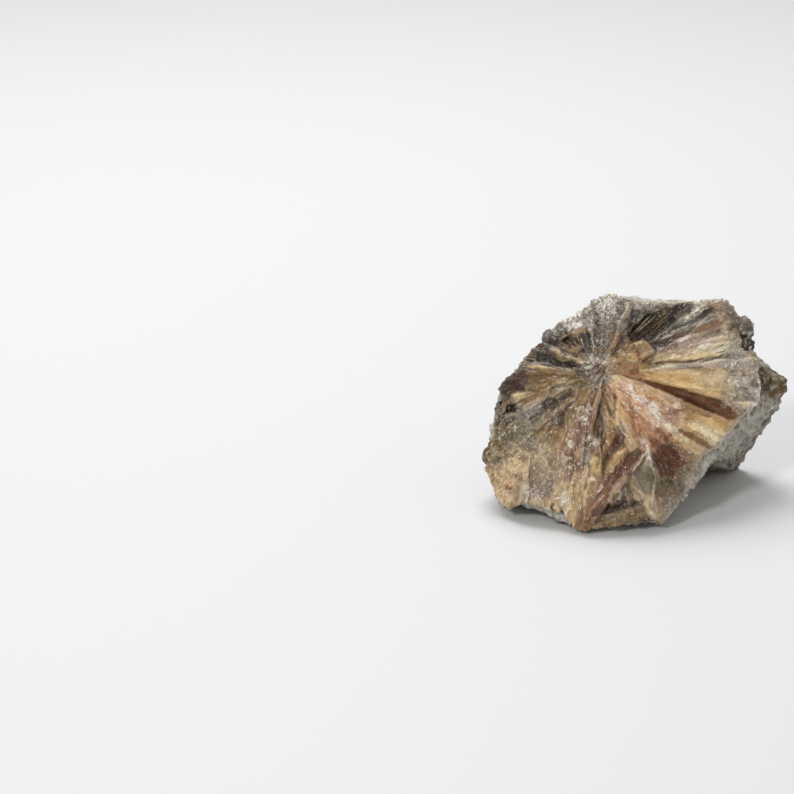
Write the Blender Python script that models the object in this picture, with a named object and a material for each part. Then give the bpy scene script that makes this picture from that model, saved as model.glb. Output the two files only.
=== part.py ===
"""A daisy gypsum specimen: brown gypsum blades that radiate from one heart over a broken chunk.

Run it with blender --background --python part.py, or from Blender's text editor.

Constants are in millimetres and degrees; meshes are in metres, +Z up.
The specimen is drawn upright, as (across, back, up): the rosette lies about in the XZ plane and faces -Y.
It is then leaned back, cut flat where it stands, and moved so that the origin is under its middle.
"""

import math
import random

import bmesh
import bpy
from mathutils import Matrix, Vector

NAME = "daisy_gypsum"
MM = 0.001

# How the specimen stands.
LEAN_DEG = 20.0
MIDDLE = (0.9, 22.2)
BASE_CUT = 0.0

# The rosette's heart, and the dome of the face that the blades lie on.
HEART = (-7.4, 31.4)
FACE_HEIGHT = 47.0
FACE_FALL_BACK = 13.0
FACE_FALL_POWER = 1.5
FACE_CROWN_ACROSS = -4.0
FACE_CROWN_LEFT = 0.015
FACE_CROWN_RIGHT = 0.0095
FACE_FORWARD = 1.0

# Small irregularities.
LUMP_JITTER = 0.16
SEED = 9

# The broken edge of the face, as (angle, radius) about the heart, counterclockwise from +X.
RIM = [
    (93, 13.6), (79, 15.4), (61, 15.8), (51, 17.6), (38, 22.6), (29.5, 28.4), (24, 30.8), (17, 31.8),
    (10, 31.2), (2.4, 32.4), (350, 33), (343, 30.4), (336.5, 28.6), (328, 27.8), (321, 26.2),
    (314, 27.2), (309, 28.8), (301, 30), (293, 31.6), (288, 30), (272, 29.6), (263, 30.6), (255, 28),
    (248, 28.2), (241, 29.2), (232, 30.6), (225, 29), (217, 27.2), (213, 23.6), (201, 21), (196, 19),
    (189, 19.2), (177, 15.2), (157, 12.4), (133, 11.4), (110, 11.6),
]
RIM_SET_BACK = 1.8

# The rock behind the face, as convex lumps. Each corner is (across, back, up) in the upright frame.
CORE_BACK = [
    (-22, 17, 6.4), (-9, 6, 1.5), (6, 12, 4), (8, 30, 10), (-17, 34, 12), (-6, 38, 13), (4, 39, 13.5),
    (9, 38, 13), (13, 33, 24), (-5, 37, 22), (-19, 29, 20), (10, 25, 40), (-6, 24, 42), (-15, 23, 35),
    (18, 24, 36),
]
CHUNKS = {
    "right_flank": [
        (24, 15, 25), (17, 10, 17.4), (12.4, 8.5, 14.4), (15.8, 34, 11.4), (22.7, 33, 11.4),
        (23.4, 31, 13.7), (25.6, 28.5, 17), (27.1, 26, 20.3), (30, 23.5, 24), (31.4, 21.5, 27.8),
        (30, 20, 31), (26, 19, 33), (22, 21, 38), (12, 35, 24), (9, 34, 12), (10, 14, 14), (12, 22, 36),
        (23, 28, 31),
    ],
    "left_lobe": [
        (-29.2, 15, 14), (-28.4, 15, 17.2), (-26.4, 11.5, 5.6), (-22.8, 9, 5.4), (-28, 13.5, 9.4),
        (-19, 8, 6), (-19, 8, 17), (-25, 11, 19.5), (-25, 23, 13), (-18, 26, 9.5), (-22, 20, 22),
        (-24.5, 17, 6.4),
    ],
    "top_ridge": [
        (-8.4, 15.5, 45.6), (-8.6, 13, 42), (-5.6, 16, 46.6), (-3.8, 16.4, 47), (-1.6, 16, 45.9),
        (1.6, 16, 45.2), (-6, 23, 43), (2, 24, 43), (1, 13.5, 41), (-3, 11.5, 38),
    ],
    "top_right": [
        (9, 17, 45.2), (17.4, 18.4, 45.1), (20.2, 18, 43.8), (23.1, 18, 41), (23, 16.5, 37),
        (9, 12.5, 38), (12, 27, 42), (20, 27, 38), (-0.6, 16.4, 44.9), (0.6, 12.2, 38.4),
    ],
}

# The blades, as the corners of their outer faces: (angle, radius, lift off the dome of the face).
BLADES = {
    "gold_right": [
        (356, 2.4, 0.3), (362, 9, 0.6), (361.5, 18, 1.3), (361, 26, 1.4), (352, 26.5, 1.2),
        (348.6, 25, 1.0), (350, 16, 0.9), (353, 8.5, 0.5),
    ],
    "ledge_right": [(348, 25, 0.2), (352, 29, -0.1), (347, 30, -0.6), (343, 29, -1.0), (345, 24, -0.8)],
    "groove_blade": [(343, 22, -1.3), (344.5, 29, -0.9), (340, 29, -1.3), (340.5, 24, -1.6)],
    "pink_face": [
        (343, 3.2, 0.4), (343, 11, 0.8), (341, 17, 1.0), (335, 19, 1.3), (325, 19, 1.8), (315, 17, 1.9),
        (307, 16.5, 1.5), (309, 10, 1.0), (315, 4.2, 0.5),
    ],
    "gold_low_right": [(340, 16, 0.9), (339, 27.5, 0.8), (334, 28.4, 0.9), (333, 17, 1.3)],
    "cream_low_right": [(333, 18, 1.2), (334, 28.2, 0.8), (328, 27.8, 0.8), (327, 20, 1.3)],
    "orange_low_right": [(327.5, 19, 0.9), (328.5, 27.2, 0.4), (324, 26.2, 0.2), (323, 20, 0.7)],
    "ivory_low_right": [(323, 18, 1.3), (324, 26, 0.6), (319, 25.6, 0.4), (317, 18, 1.2)],
    "garnet_lens": [
        (319, 16.5, 0.2), (319.5, 24.5, -0.5), (313, 27, -0.9), (305, 25.5, -1.0), (299.5, 20, -0.9),
        (306, 16, 0.0),
    ],
    "olive_lens": [(314, 25, -0.6), (316, 28, -1.0), (309, 29.4, -1.2), (304, 27, -1.1), (305, 24, -0.9)],
    "white_slip": [(301, 16.5, 1.0), (303, 17.5, 0.9), (300.5, 20.5, 0.3), (298.5, 18.5, 0.8)],
    "red_ridge": [
        (315, 7, 0.8), (309, 13, 1.3), (306, 17.5, 1.6), (303, 17.5, 1.2), (305, 11, 0.8), (309, 7, 0.5),
    ],
    "peach_blade": [
        (300, 4.2, 0.7), (303, 12, 1.1), (301, 17, 1.3), (292, 16.5, 1.4), (291, 12, 1.2), (294, 7, 0.7),
    ],
    "cream_edge": [(293, 4.2, 1.0), (292, 14, 1.7), (288.5, 13.5, 1.5), (290, 4.2, 0.8)],
    "purple_notch": [(289, 11.5, -0.4), (287.5, 15, -0.6), (281, 15, -0.6), (283, 12, -0.4)],
    "brown_284": [(288, 3.2, 0.3), (285, 12, 0.5), (279, 14.5, 0.5), (279, 9, 0.3), (281, 3.2, 0.2)],
    "grey_276": [(280, 2.4, 0.0), (279, 12, 0.2), (273, 15, 0.2), (272, 8, 0.0), (272, 2.4, 0.0)],
    "rosewood": [
        (303, 16.5, 1.3), (293, 15.5, 1.2), (274, 20, 1.7), (265.5, 26, 1.5), (263.5, 30.5, 0.9),
        (268.5, 28.5, 1.1), (276, 24, 1.6), (289, 20.5, 1.8),
    ],
    "yellow_lens": [
        (292, 15.5, 1.7), (281, 16.2, 1.9), (275, 18.5, 2.0), (275.5, 20.2, 1.9), (284, 18.2, 2.4),
    ],
    "lilac_shard": [(281, 22.5, 1.4), (274.5, 25.5, 1.7), (279.5, 25.6, 0.9)],
    "pale_triangle": [
        (297, 20, 1.6), (299, 22, 1.5), (293, 26.4, 1.0), (291, 29.3, 0.4), (286, 24.8, 1.2),
        (285.5, 21.3, 1.6),
    ],
    "olive_285": [(283, 21, 1.0), (286, 24, 0.9), (283, 26, 0.5), (279, 25, 0.6)],
    "purple_bottom": [
        (291, 26.5, 0.3), (283, 25, 0.7), (272, 27.5, 0.7), (264, 31, 0.2), (270, 29.2, 0.4),
        (284, 28.2, 0.3),
    ],
    "olive_bottom": [
        (291, 28.5, 0.0), (284, 27.8, 0.5), (270, 29.2, 0.6), (263.5, 31.2, 0.2), (272, 30, -0.2),
        (288, 30.2, -0.5),
    ],
    "foot_right": [(293, 29, -0.2), (297, 29.5, -0.4), (294.5, 31.4, -0.8), (291.5, 32, -0.9)],
    "olive_rim": [
        (299, 21.5, 0.6), (304, 26.5, -0.6), (301, 29, -0.9), (295, 29.6, -0.6), (293, 27, 0.2),
    ],
    "amber_266": [
        (272, 2.4, 0.1), (271.5, 15, 0.7), (269, 24, 1.0), (264, 31, 0.6), (260, 30.6, 0.5),
        (262, 20, 1.0), (264, 8, 0.4),
    ],
    "amber_257": [
        (264, 3.2, 0.3), (262, 20, 1.1), (260, 30.4, 0.7), (255.5, 28.2, 0.4), (254, 18, 0.9),
        (257, 7, 0.3),
    ],
    "bright_lens": [(256, 6.5, 0.9), (261, 8, 1.2), (262, 12, 1.3), (256.5, 12, 1.2), (252, 9, 0.9)],
    "mauve_plate": [(268, 13, 1.2), (270, 17, 1.3), (262, 17.5, 1.5), (256, 16.5, 1.3), (258, 13.5, 1.2)],
    "straw_250": [
        (254, 4.2, 0.2), (253.5, 18, 0.7), (254.5, 28.6, 0.3), (248, 28.6, 0.0), (247.5, 17, 0.4),
        (249, 7, 0.1),
    ],
    "straw_244": [
        (249, 4.2, 0.2), (247.5, 18, 0.3), (247, 28, 0.0), (242, 28, -0.2), (241, 17, 0.0),
        (242, 7, 0.0),
    ],
    "brown_237": [(242, 4.2, 0.0), (240.5, 14, 0.2), (239, 19, 0.1), (233, 18, -0.2), (233, 8, 0.0)],
    "mauve_low": [
        (242, 18, 0.5), (243, 28, 0.3), (246.5, 29, -0.1), (239, 29.6, -0.3), (234, 24, 0.3),
        (236, 18, 0.6),
    ],
    "beige_lobe": [
        (236, 18.5, 0.4), (235, 25, 0.6), (237, 30, -0.2), (229, 30.6, -1.0), (221, 29, -1.0),
        (218.5, 27, -0.6), (220, 22, 0.0), (226, 18, 0.3),
    ],
    "lobe_bottom": [
        (236, 29, 0.2), (239.5, 30.2, -0.3), (237.5, 32, -1.6), (233, 32, -1.6), (229, 30.5, -0.6),
    ],
    "brown_226": [(232, 7, 0.0), (231, 16, 0.0), (227, 19, 0.0), (221, 18, -0.3), (224, 8, -0.3)],
    "olive_left": [
        (222, 14, 0.1), (222.5, 23, 0.1), (218, 26, -0.4), (212, 24, -0.4), (204.5, 22, -0.6),
        (207, 17, 0.2), (214, 13, 0.2),
    ],
    "umber_216": [(223, 4.2, -0.3), (221, 15, -0.6), (212, 17, -0.6), (210, 12, -0.4), (214, 7, -0.3)],
    "lilac_208": [(213, 4.2, 0.2), (211.5, 10, 0.6), (209, 16, 0.9), (206, 15.5, 0.8), (205, 9, 0.4)],
    "olive_gold": [(208, 8, 0.3), (206, 15, 0.6), (202.5, 17, 0.5), (199, 16.5, 0.8), (199, 10, 0.6)],
    "cream_chip": [(200.5, 14, 1.3), (198.5, 17.2, 1.5), (195.5, 16.6, 1.6), (196.5, 14, 1.4)],
    "brown_left": [(199, 3.2, 0.3), (198, 14, 0.9), (188, 14.5, 1.0), (181, 13, 0.8), (183, 3.2, 0.3)],
    "purple_end": [
        (197.5, 13.8, 0.5), (196, 18.4, -0.1), (190, 19.6, -0.3), (184, 18, -0.2), (179, 15.5, 0.0),
        (180, 12.8, 0.5),
    ],
    "gold_left": [(180.5, 2.8, 0.6), (180.5, 12, 1.4), (175, 13, 1.5), (172, 12.5, 1.1), (173, 3.2, 0.6)],
    "purple_left": [
        (171.5, 3.2, -0.5), (172, 12.5, -0.6), (169, 14.4, -0.6), (162, 13, -0.7), (160, 8, -0.6),
        (163, 3.2, -0.4),
    ],
    "grey_158": [(163, 10, 0.0), (165, 13.6, -0.2), (157, 13.2, -0.1), (150, 11.8, 0.0), (152, 9.5, 0.2)],
    "pale_153": [(160, 2.4, 0.3), (158, 9.5, 0.6), (152, 10, 0.7), (149, 3.2, 0.4)],
    "grey_143": [(149, 2.4, 0.1), (150, 11.2, 0.3), (145, 11.6, 0.4), (139, 11, 0.2), (139, 3.2, 0.0)],
    "fringe_132": [(141, 9.8, 0.2), (140, 12, 0.2), (131, 12.4, 0.2), (122, 12.4, 0.3), (123, 9.2, 0.2)],
    "fringe_115": [
        (123, 8.8, 0.1), (122, 12.2, 0.2), (112, 12.4, 0.4), (104, 11.8, 0.4), (105, 8.6, 0.2),
    ],
    "grey_110": [(118, 2.4, -0.1), (117, 8.8, 0.0), (106, 9, 0.2), (105, 2.4, 0.0)],
    "grey_98": [(105, 2.4, 0.2), (104.5, 11.8, 0.5), (96, 12.2, 0.6), (92, 11.5, 0.5), (92, 2.4, 0.2)],
    "spur_85": [(93, 2.4, 0.3), (94.5, 14, 0.9), (86, 14.4, 1.2), (78, 14.2, 1.1), (77, 2.4, 0.4)],
    "spur_top": [
        (95, 13.5, 0.8), (94, 14.2, 0.4), (80, 16, 0.2), (72, 15.9, 0.1), (66, 15.2, 0.4),
        (72, 13.5, 1.2),
    ],
    "spur_70": [(78, 2.4, 0.5), (78, 13.5, 1.1), (66, 14.5, 0.9), (60, 12, 0.7), (60, 2.8, 0.5)],
    "crust_58": [(62, 11, 0.3), (66, 15, 0.3), (52, 17.2, -0.1), (46, 17, -0.2), (50, 13.5, 0.0)],
    "chips_50": [(62, 2.4, 0.6), (60, 9.5, 1.2), (48, 9.5, 1.2), (40, 8, 1.0), (42, 2.4, 0.6)],
    "slab_edge": [(39.7, 9.5, -0.4), (38.4, 19.5, 0.2), (37.4, 19.5, 0.0), (38.2, 9.5, -0.6)],
    "needle_upper": [(46.4, 10.6, 0.2), (46.2, 15.6, 0.8), (45.2, 15.7, 0.8), (45.4, 10.6, 0.2)],
    "needle_lower": [(44.8, 10.8, 0.1), (44.4, 16.6, 0.9), (43.4, 16.6, 0.8), (43.6, 10.8, 0.1)],
    "top_crust": [
        (48, 17, 0.2), (44, 19.2, 0.1), (36.5, 23.8, 0.0), (30, 29.2, -0.2), (28, 29, -0.4),
        (34, 23.5, 0.1),
    ],
    "white_chip": [(31.5, 20.5, 0.3), (31.8, 25.5, 0.6), (29.6, 25.5, 0.8), (28.8, 20.5, 0.5)],
    "slate_27": [
        (30.5, 13, -0.7), (30.5, 20, -0.2), (29.5, 27, 0.1), (25.5, 27.8, 0.3), (24, 20, 0.2),
        (24.5, 13, -0.4),
    ],
    "slate_22": [(25, 12.5, -0.3), (25, 27.5, 0.6), (20, 27.3, 0.9), (19, 14, 0.1)],
    "lavender_17": [(20.5, 13, 0.1), (20.5, 27, 0.9), (15, 26.5, 1.3), (14, 17, 0.9), (14.5, 12, 0.4)],
    "cream_12": [
        (15, 12, 0.6), (15, 26.2, 1.7), (11.5, 26.5, 1.9), (9.5, 27, 1.6), (7, 24, 1.4), (6, 20, 1.2),
        (8.5, 12, 0.6),
    ],
    "brown_7": [(9, 9, 0.2), (7, 20.5, 0.5), (4.5, 19, 0.3), (4, 10, 0.1)],
    "mauve_right": [
        (5, 12, 0.0), (4.5, 19, 0.0), (6.8, 24.5, 0.2), (9.5, 27.5, 0.2), (11.5, 29.8, 0.0),
        (6, 31, 0.0), (1, 29.5, 0.2), (1, 14, 0.1),
    ],
    "corner_25": [(29.5, 27, 0.2), (30, 29.8, -0.2), (25, 31, -0.3), (21, 30, -0.3), (21, 27, 0.4)],
    "rim_6": [(12, 29, 0.2), (11.5, 31.4, -0.2), (4, 32.6, -0.4), (0, 31.5, -0.2), (1, 29, 0.2)],
    "rose_rim": [
        (361, 26, 0.5), (361, 32.4, -0.2), (354, 33.2, -0.4), (347.5, 31.4, -0.8), (349, 28, -0.3),
        (351.5, 26, 0.4),
    ],
    "chip_gold": [(22, 2.2, 0.8), (20, 8.5, 1.3), (8, 9, 0.9), (4, 2.4, 0.5)],
    "chip_brown": [(45, 2.4, 0.7), (40, 8, 1.2), (26, 7.5, 1.3), (22, 2.2, 0.7)],
    "chip_beige": [(36, 8, 1.2), (33, 11.3, 0.9), (21, 11.6, 0.9), (20, 8.5, 1.4), (28, 7, 1.5)],
    "heart": [
        (10, 3.4, -0.5), (55, 3.0, -0.4), (110, 3.4, -0.6), (160, 3.1, -0.6), (205, 3.5, -0.6),
        (250, 3.1, -0.4), (300, 3.4, -0.4), (340, 3.2, -0.3), (80, 1.2, 0.0), (220, 1.4, -0.1),
        (330, 1.0, 0.1),
    ],
}
BLADE_LIFT = 1.35
BLADE_SPREAD = 0.35
BLADE_TILT = 0.14
BLADE_MOST_TILT = 0.7
BLADE_ROOT_DEPTH = 6.0
BLADE_ROOT_DRAW_IN = 0.12
VALLEY_MOUTH = 10.0

# Blades that aren't tilted, and blades that stand in the valleys.
FLAT_BLADES = ("heart", "pink_face", "beige_lobe", "spur_top")
VALLEY_BLADES = ("groove_blade", "slab_edge", "needle_upper", "needle_lower")

# Valleys cut between the blades, as corners on the face with a floor depth below the dome.
VALLEYS = {
    "dark_groove": [
        (351, 7, 0.9), (349, 16, 2.2), (347.6, 25, 2.8), (343, 29.5, 2.8), (339.4, 27.5, 2.8),
        (341, 18, 2.4), (346, 8, 1.0),
    ],
    "black_slabs": [
        (52, 9, 1.8), (49, 15, 2.0), (39, 21.5, 1.9), (34.5, 24, 1.8), (31.8, 22, 2.0), (30, 12, 2.6),
        (40, 8.8, 2.2),
    ],
    "brown_hollow": [(139, 5, 1.0), (138.5, 9.4, 1.9), (124, 9.0, 2.0), (118.5, 8.4, 1.8), (119, 5, 1.1)],
    "left_notch": [(196.6, 22, 6.0), (197.6, 19.4, 6.0), (200.5, 20.4, 6.0), (200.2, 23.5, 6.0)],
    "rim_pit": [(207, 17.5, 1.4), (205, 20.4, 1.9), (200, 18.6, 1.9), (201.5, 17, 1.2)],
}

# Rounded crystals at the broken rim: centre (across, back, up) and the three radii.
LUMPS = [
    ((22.3, 17.0, 40.0), (2.6, 3.2, 2.6)),
    ((22.4, 16.6, 36.6), (2.6, 3.2, 2.0)),
    ((29.2, 21.0, 29.0), (2.6, 3.6, 2.7)),
    ((26.0, 18.0, 29.6), (2.0, 3.0, 2.2)),
    ((-28.0, 14.6, 15.0), (1.9, 3.2, 2.4)),
    ((-16.4, 12.8, 38.2), (1.8, 2.8, 1.8)),
    ((-10.6, 13.4, 41.6), (2.4, 2.8, 1.7)),
    ((6.4, 16.0, 44.0), (3.6, 3.6, 1.8)),
    ((18.4, 11.6, 39.8), (0.9, 1.3, 1.3)),
    ((17.0, 29.4, 14.4), (4.0, 5.4, 3.2)),
    ((18.6, 19.6, 20.4), (4.6, 5.0, 3.8)),
    ((25.6, 21.6, 25.2), (3.8, 4.4, 3.8)),
    ((-8.0, 31.0, 20.0), (8.6, 7.6, 7.8)),
    ((4.0, 28.6, 30.0), (8.8, 8.0, 8.6)),
    ((-14.0, 25.0, 28.0), (7.4, 7.6, 7.8)),
    ((14.0, 25.2, 30.0), (8.6, 8.0, 8.0)),
    ((-18.8, 24.0, 14.6), (6.8, 8.0, 6.8)),
    ((5.0, 33.0, 18.0), (7.2, 6.4, 5.8)),
]


def face_depth(across, up):
    """How far back the dome of the face lies, in the upright frame."""
    fall = FACE_FALL_BACK * (max(up, 0.0) / FACE_HEIGHT) ** FACE_FALL_POWER
    aside = across - FACE_CROWN_ACROSS
    crown = (FACE_CROWN_LEFT if aside < 0 else FACE_CROWN_RIGHT) * aside**2
    return fall + crown - FACE_FORWARD


def on_face(angle_deg, radius, lift):
    """A point at this angle and radius about the heart, off the dome by lift towards the viewer."""
    angle = math.radians(angle_deg)
    across, up = HEART[0] + radius * math.cos(angle), HEART[1] + radius * math.sin(angle)
    return Vector((across, face_depth(across, up) - lift, up))


def clear_scene():
    for old in list(bpy.data.objects):
        bpy.data.objects.remove(old)


def new_object(name, bm, collection):
    """Puts a bmesh into an object of this collection."""
    bmesh.ops.recalc_face_normals(bm, faces=bm.faces)
    mesh = bpy.data.meshes.new(name)
    bm.to_mesh(mesh)
    bm.free()
    made = bpy.data.objects.new(name, mesh)
    collection.objects.link(made)
    return made


def hull(name, corners, collection):
    """A convex lump of rock through these corners."""
    bm = bmesh.new()
    for corner in corners:
        bm.verts.new(corner)
    made = bmesh.ops.convex_hull(bm, input=bm.verts)
    spare = [v for v in made["geom_interior"] if isinstance(v, bmesh.types.BMVert)]
    bmesh.ops.delete(bm, geom=spare, context="VERTS")
    return new_object(name, bm, collection)


def blade(name, outline, tilt, collection):
    """A gypsum blade: an outer face of many corners, tilted a little, drawn in towards a root in the rock."""
    middle_angle = sum(angle for angle, _, _ in outline) / len(outline)
    outer = []
    for angle, radius, lift in outline:
        aside = radius * math.radians(angle - middle_angle)
        rise = max(-BLADE_MOST_TILT, min(BLADE_MOST_TILT, tilt * aside))
        wider = angle + math.degrees(math.copysign(BLADE_SPREAD, aside) / radius)
        outer.append(on_face(wider, radius, BLADE_LIFT * lift + rise))
    middle = sum(outer, Vector()) / len(outer)
    root = [p.lerp(middle, BLADE_ROOT_DRAW_IN) + Vector((0, BLADE_ROOT_DEPTH, 0)) for p in outer]
    return hull(name, outer + root, collection)


def valley(name, outline, collection):
    """A cutter for a valley: a block whose back is the valley's floor and which opens to the front."""
    floor = [on_face(angle, radius, -depth) for angle, radius, depth in outline]
    mouth = [p + Vector((0, -VALLEY_MOUTH, 0)) for p in floor]
    return hull(name, floor + mouth, collection)


def lump(name, centre, radii, rng, collection):
    """A blunt crystal on the rim."""
    bm = bmesh.new()
    bmesh.ops.create_icosphere(bm, subdivisions=1, radius=1.0)
    for vert in bm.verts:
        vert.co *= 1 + rng.uniform(-1, 1) * LUMP_JITTER
    bm.transform(Matrix.Translation(centre) @ Matrix.Diagonal((*radii, 1)))
    return new_object(name, bm, collection)


def make_rock(collection):
    face = [on_face(angle, radius, -RIM_SET_BACK) for angle, radius in RIM]
    face += [on_face(angle, radius / 2, -RIM_SET_BACK) for angle, radius in RIM]
    made = [hull("core", face + CORE_BACK, collection)]
    return made + [hull(name, corners, collection) for name, corners in CHUNKS.items()]


def make_blades(collection):
    """The blades of the face, and those that stand in its valleys."""
    rng = random.Random(SEED)
    made = []
    for name, outline in BLADES.items():
        tilt = rng.uniform(-BLADE_TILT, BLADE_TILT) if name not in FLAT_BLADES else 0.0
        made.append(blade(name, outline, tilt, collection))
    in_valleys = [piece for piece in made if piece.name in VALLEY_BLADES]
    return [piece for piece in made if piece not in in_valleys], in_valleys


def make_valleys(collection):
    return [valley(name, outline, collection) for name, outline in VALLEYS.items()]


def make_lumps(collection):
    rng = random.Random(SEED + 1)
    return [lump(f"lump_{n:02d}", *row, rng, collection) for n, row in enumerate(LUMPS)]


def combine(base, others, operation):
    """Unites these pieces with the base, or takes them from it, in one exact Boolean."""
    operands = bpy.data.collections.new(operation)
    for piece in others:
        operands.objects.link(piece)
    boolean = base.modifiers.new(operation, "BOOLEAN")
    boolean.operation = operation
    boolean.solver = "EXACT"
    boolean.operand_type = "COLLECTION"
    boolean.collection = operands
    graph = bpy.context.evaluated_depsgraph_get()
    combined = bpy.data.meshes.new_from_object(base.evaluated_get(graph))
    base.modifiers.clear()
    base.data = combined
    for piece in others:
        bpy.data.objects.remove(piece)


def shells(bm):
    """The shells of a mesh, as lists of faces joined edge to edge, the largest first."""
    found = []
    seen = set()
    for face in bm.faces:
        if face in seen:
            continue
        seen.add(face)
        shell = [face]
        for reached in shell:
            for edge in reached.edges:
                for other in edge.link_faces:
                    if other not in seen:
                        seen.add(other)
                        shell.append(other)
        found.append(shell)
    return sorted(found, key=len, reverse=True)


def stand(piece):
    """Leans the specimen back, cuts it flat where it rests, centres it and turns it to metres."""
    bm = bmesh.new()
    bm.from_mesh(piece.data)
    bmesh.ops.triangulate(bm, faces=bm.faces)
    for pocket in shells(bm)[1:]:
        bmesh.ops.delete(bm, geom=pocket, context="FACES")
    bm.transform(Matrix.Rotation(math.radians(-LEAN_DEG), 4, "X"))
    everything = bm.verts[:] + bm.edges[:] + bm.faces[:]
    cut = bmesh.ops.bisect_plane(
        bm, geom=everything, plane_co=(0, 0, BASE_CUT), plane_no=(0, 0, -1), clear_outer=True
    )
    rim = [e for e in cut["geom_cut"] if isinstance(e, bmesh.types.BMEdge)]
    bmesh.ops.holes_fill(bm, edges=rim)
    bm.transform(Matrix.Translation((-MIDDLE[0], -MIDDLE[1], -BASE_CUT)))
    bm.transform(Matrix.Scale(MM, 4))
    bmesh.ops.recalc_face_normals(bm, faces=bm.faces)
    bm.to_mesh(piece.data)
    bm.free()


def gypsum_material():
    material = bpy.data.materials.new("brown_gypsum")
    material.use_nodes = True
    shader = material.node_tree.nodes["Principled BSDF"]
    shader.inputs["Base Color"].default_value = (0.28, 0.17, 0.09, 1)
    shader.inputs["Roughness"].default_value = 0.45
    shader.inputs["Metallic"].default_value = 0.0
    return material


def main():
    clear_scene()
    collection = bpy.data.collections.new("daisy_gypsum_specimen")
    bpy.context.scene.collection.children.link(collection)
    specimen, *rock = make_rock(collection)
    blades, in_valleys = make_blades(collection)
    combine(specimen, rock + blades, "UNION")
    combine(specimen, make_valleys(collection), "DIFFERENCE")
    combine(specimen, in_valleys + make_lumps(collection), "UNION")
    stand(specimen)
    specimen.name = NAME
    specimen.data.name = NAME
    specimen.data.materials.clear()
    specimen.data.materials.append(gypsum_material())


main()
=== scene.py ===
"""A daisy gypsum specimen on a pale table: brown gypsum blades that radiate from one heart."""

import itertools
import math
import random

import bmesh
import bpy
import numpy as np
from mathutils import Matrix, Vector


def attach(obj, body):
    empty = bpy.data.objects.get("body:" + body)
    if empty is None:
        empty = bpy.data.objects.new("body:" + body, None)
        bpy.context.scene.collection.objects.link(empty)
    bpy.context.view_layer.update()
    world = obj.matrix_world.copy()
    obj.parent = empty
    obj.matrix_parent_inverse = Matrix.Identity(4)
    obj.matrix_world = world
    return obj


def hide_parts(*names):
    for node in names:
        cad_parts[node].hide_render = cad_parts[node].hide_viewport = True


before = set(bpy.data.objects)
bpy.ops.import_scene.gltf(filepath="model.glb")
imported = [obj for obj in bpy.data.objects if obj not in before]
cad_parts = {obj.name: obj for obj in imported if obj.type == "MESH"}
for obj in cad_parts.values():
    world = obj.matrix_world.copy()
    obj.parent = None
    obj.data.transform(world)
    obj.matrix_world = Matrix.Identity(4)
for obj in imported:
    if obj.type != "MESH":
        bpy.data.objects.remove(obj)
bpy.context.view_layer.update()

# Lengths are in millimetres and angles in degrees until a mesh is stood up.
# The specimen is drawn upright, as (across, back, up): the rosette lies about in the XZ plane
# and faces -Y.
MM = 0.001
LEAN_DEG = 20.0
MIDDLE = (0.9, 22.2)
HEART = (-7.4, 31.4)
FACE_HEIGHT = 47.0
FACE_FALL_BACK = 13.0
FACE_FALL_POWER = 1.5
FACE_CROWN_ACROSS = -4.0
FACE_CROWN_LEFT = 0.015
FACE_CROWN_RIGHT = 0.0095
FACE_FORWARD = 1.0
SEED = 9
LUMP_JITTER = 0.16

# The broken edge of the face, as (angle, radius) about the heart, counterclockwise from +X.
RIM = [
    (93, 13.6), (79, 15.4), (61, 15.8), (51, 17.6), (38, 22.6), (29.5, 28.4), (24, 30.8),
    (17, 31.8), (10, 31.2), (2.4, 32.4), (350, 33), (343, 30.4), (336.5, 28.6), (328, 27.8),
    (321, 26.2), (314, 27.2), (309, 28.8), (301, 30), (293, 31.6), (288, 30), (272, 29.6),
    (263, 30.6), (255, 28), (248, 28.2), (241, 29.2), (232, 30.6), (225, 29), (217, 27.2),
    (213, 23.6), (201, 21), (196, 19), (189, 19.2), (177, 15.2), (157, 12.4), (133, 11.4),
    (110, 11.6),
]
RIM_SET_BACK = 1.8

# The rock behind the face, as convex lumps. Each corner is (across, back, up) in the upright frame.
CORE_BACK = [
    (-22, 17, 6.4), (-9, 6, 1.5), (6, 12, 4), (8, 30, 10), (-17, 34, 12), (-6, 38, 13),
    (4, 39, 13.5), (9, 38, 13), (13, 33, 24), (-5, 37, 22), (-19, 29, 20), (10, 25, 40),
    (-6, 24, 42), (-15, 23, 35), (18, 24, 36),
]
CHUNKS = {
    "right_flank": [
        (24, 15, 25), (17, 10, 17.4), (12.4, 8.5, 14.4), (15.8, 34, 11.4), (22.7, 33, 11.4),
        (23.4, 31, 13.7), (25.6, 28.5, 17), (27.1, 26, 20.3), (30, 23.5, 24), (31.4, 21.5, 27.8),
        (30, 20, 31), (26, 19, 33), (22, 21, 38), (12, 35, 24), (9, 34, 12), (10, 14, 14),
        (12, 22, 36), (23, 28, 31),
    ],
    "left_lobe": [
        (-29.2, 15, 14), (-28.4, 15, 17.2), (-26.4, 11.5, 5.6), (-22.8, 9, 5.4), (-28, 13.5, 9.4),
        (-19, 8, 6), (-19, 8, 17), (-25, 11, 19.5), (-25, 23, 13), (-18, 26, 9.5), (-22, 20, 22),
        (-24.5, 17, 6.4),
    ],
    "top_ridge": [
        (-8.4, 15.5, 45.6), (-8.6, 13, 42), (-5.6, 16, 46.6), (-3.8, 16.4, 47), (-1.6, 16, 45.9),
        (1.6, 16, 45.2), (-6, 23, 43), (2, 24, 43), (1, 13.5, 41), (-3, 11.5, 38),
    ],
    "top_right": [
        (9, 17, 45.2), (17.4, 18.4, 45.1), (20.2, 18, 43.8), (23.1, 18, 41), (23, 16.5, 37),
        (9, 12.5, 38), (12, 27, 42), (20, 27, 38), (-0.6, 16.4, 44.9), (0.6, 12.2, 38.4),
    ],
}

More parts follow.
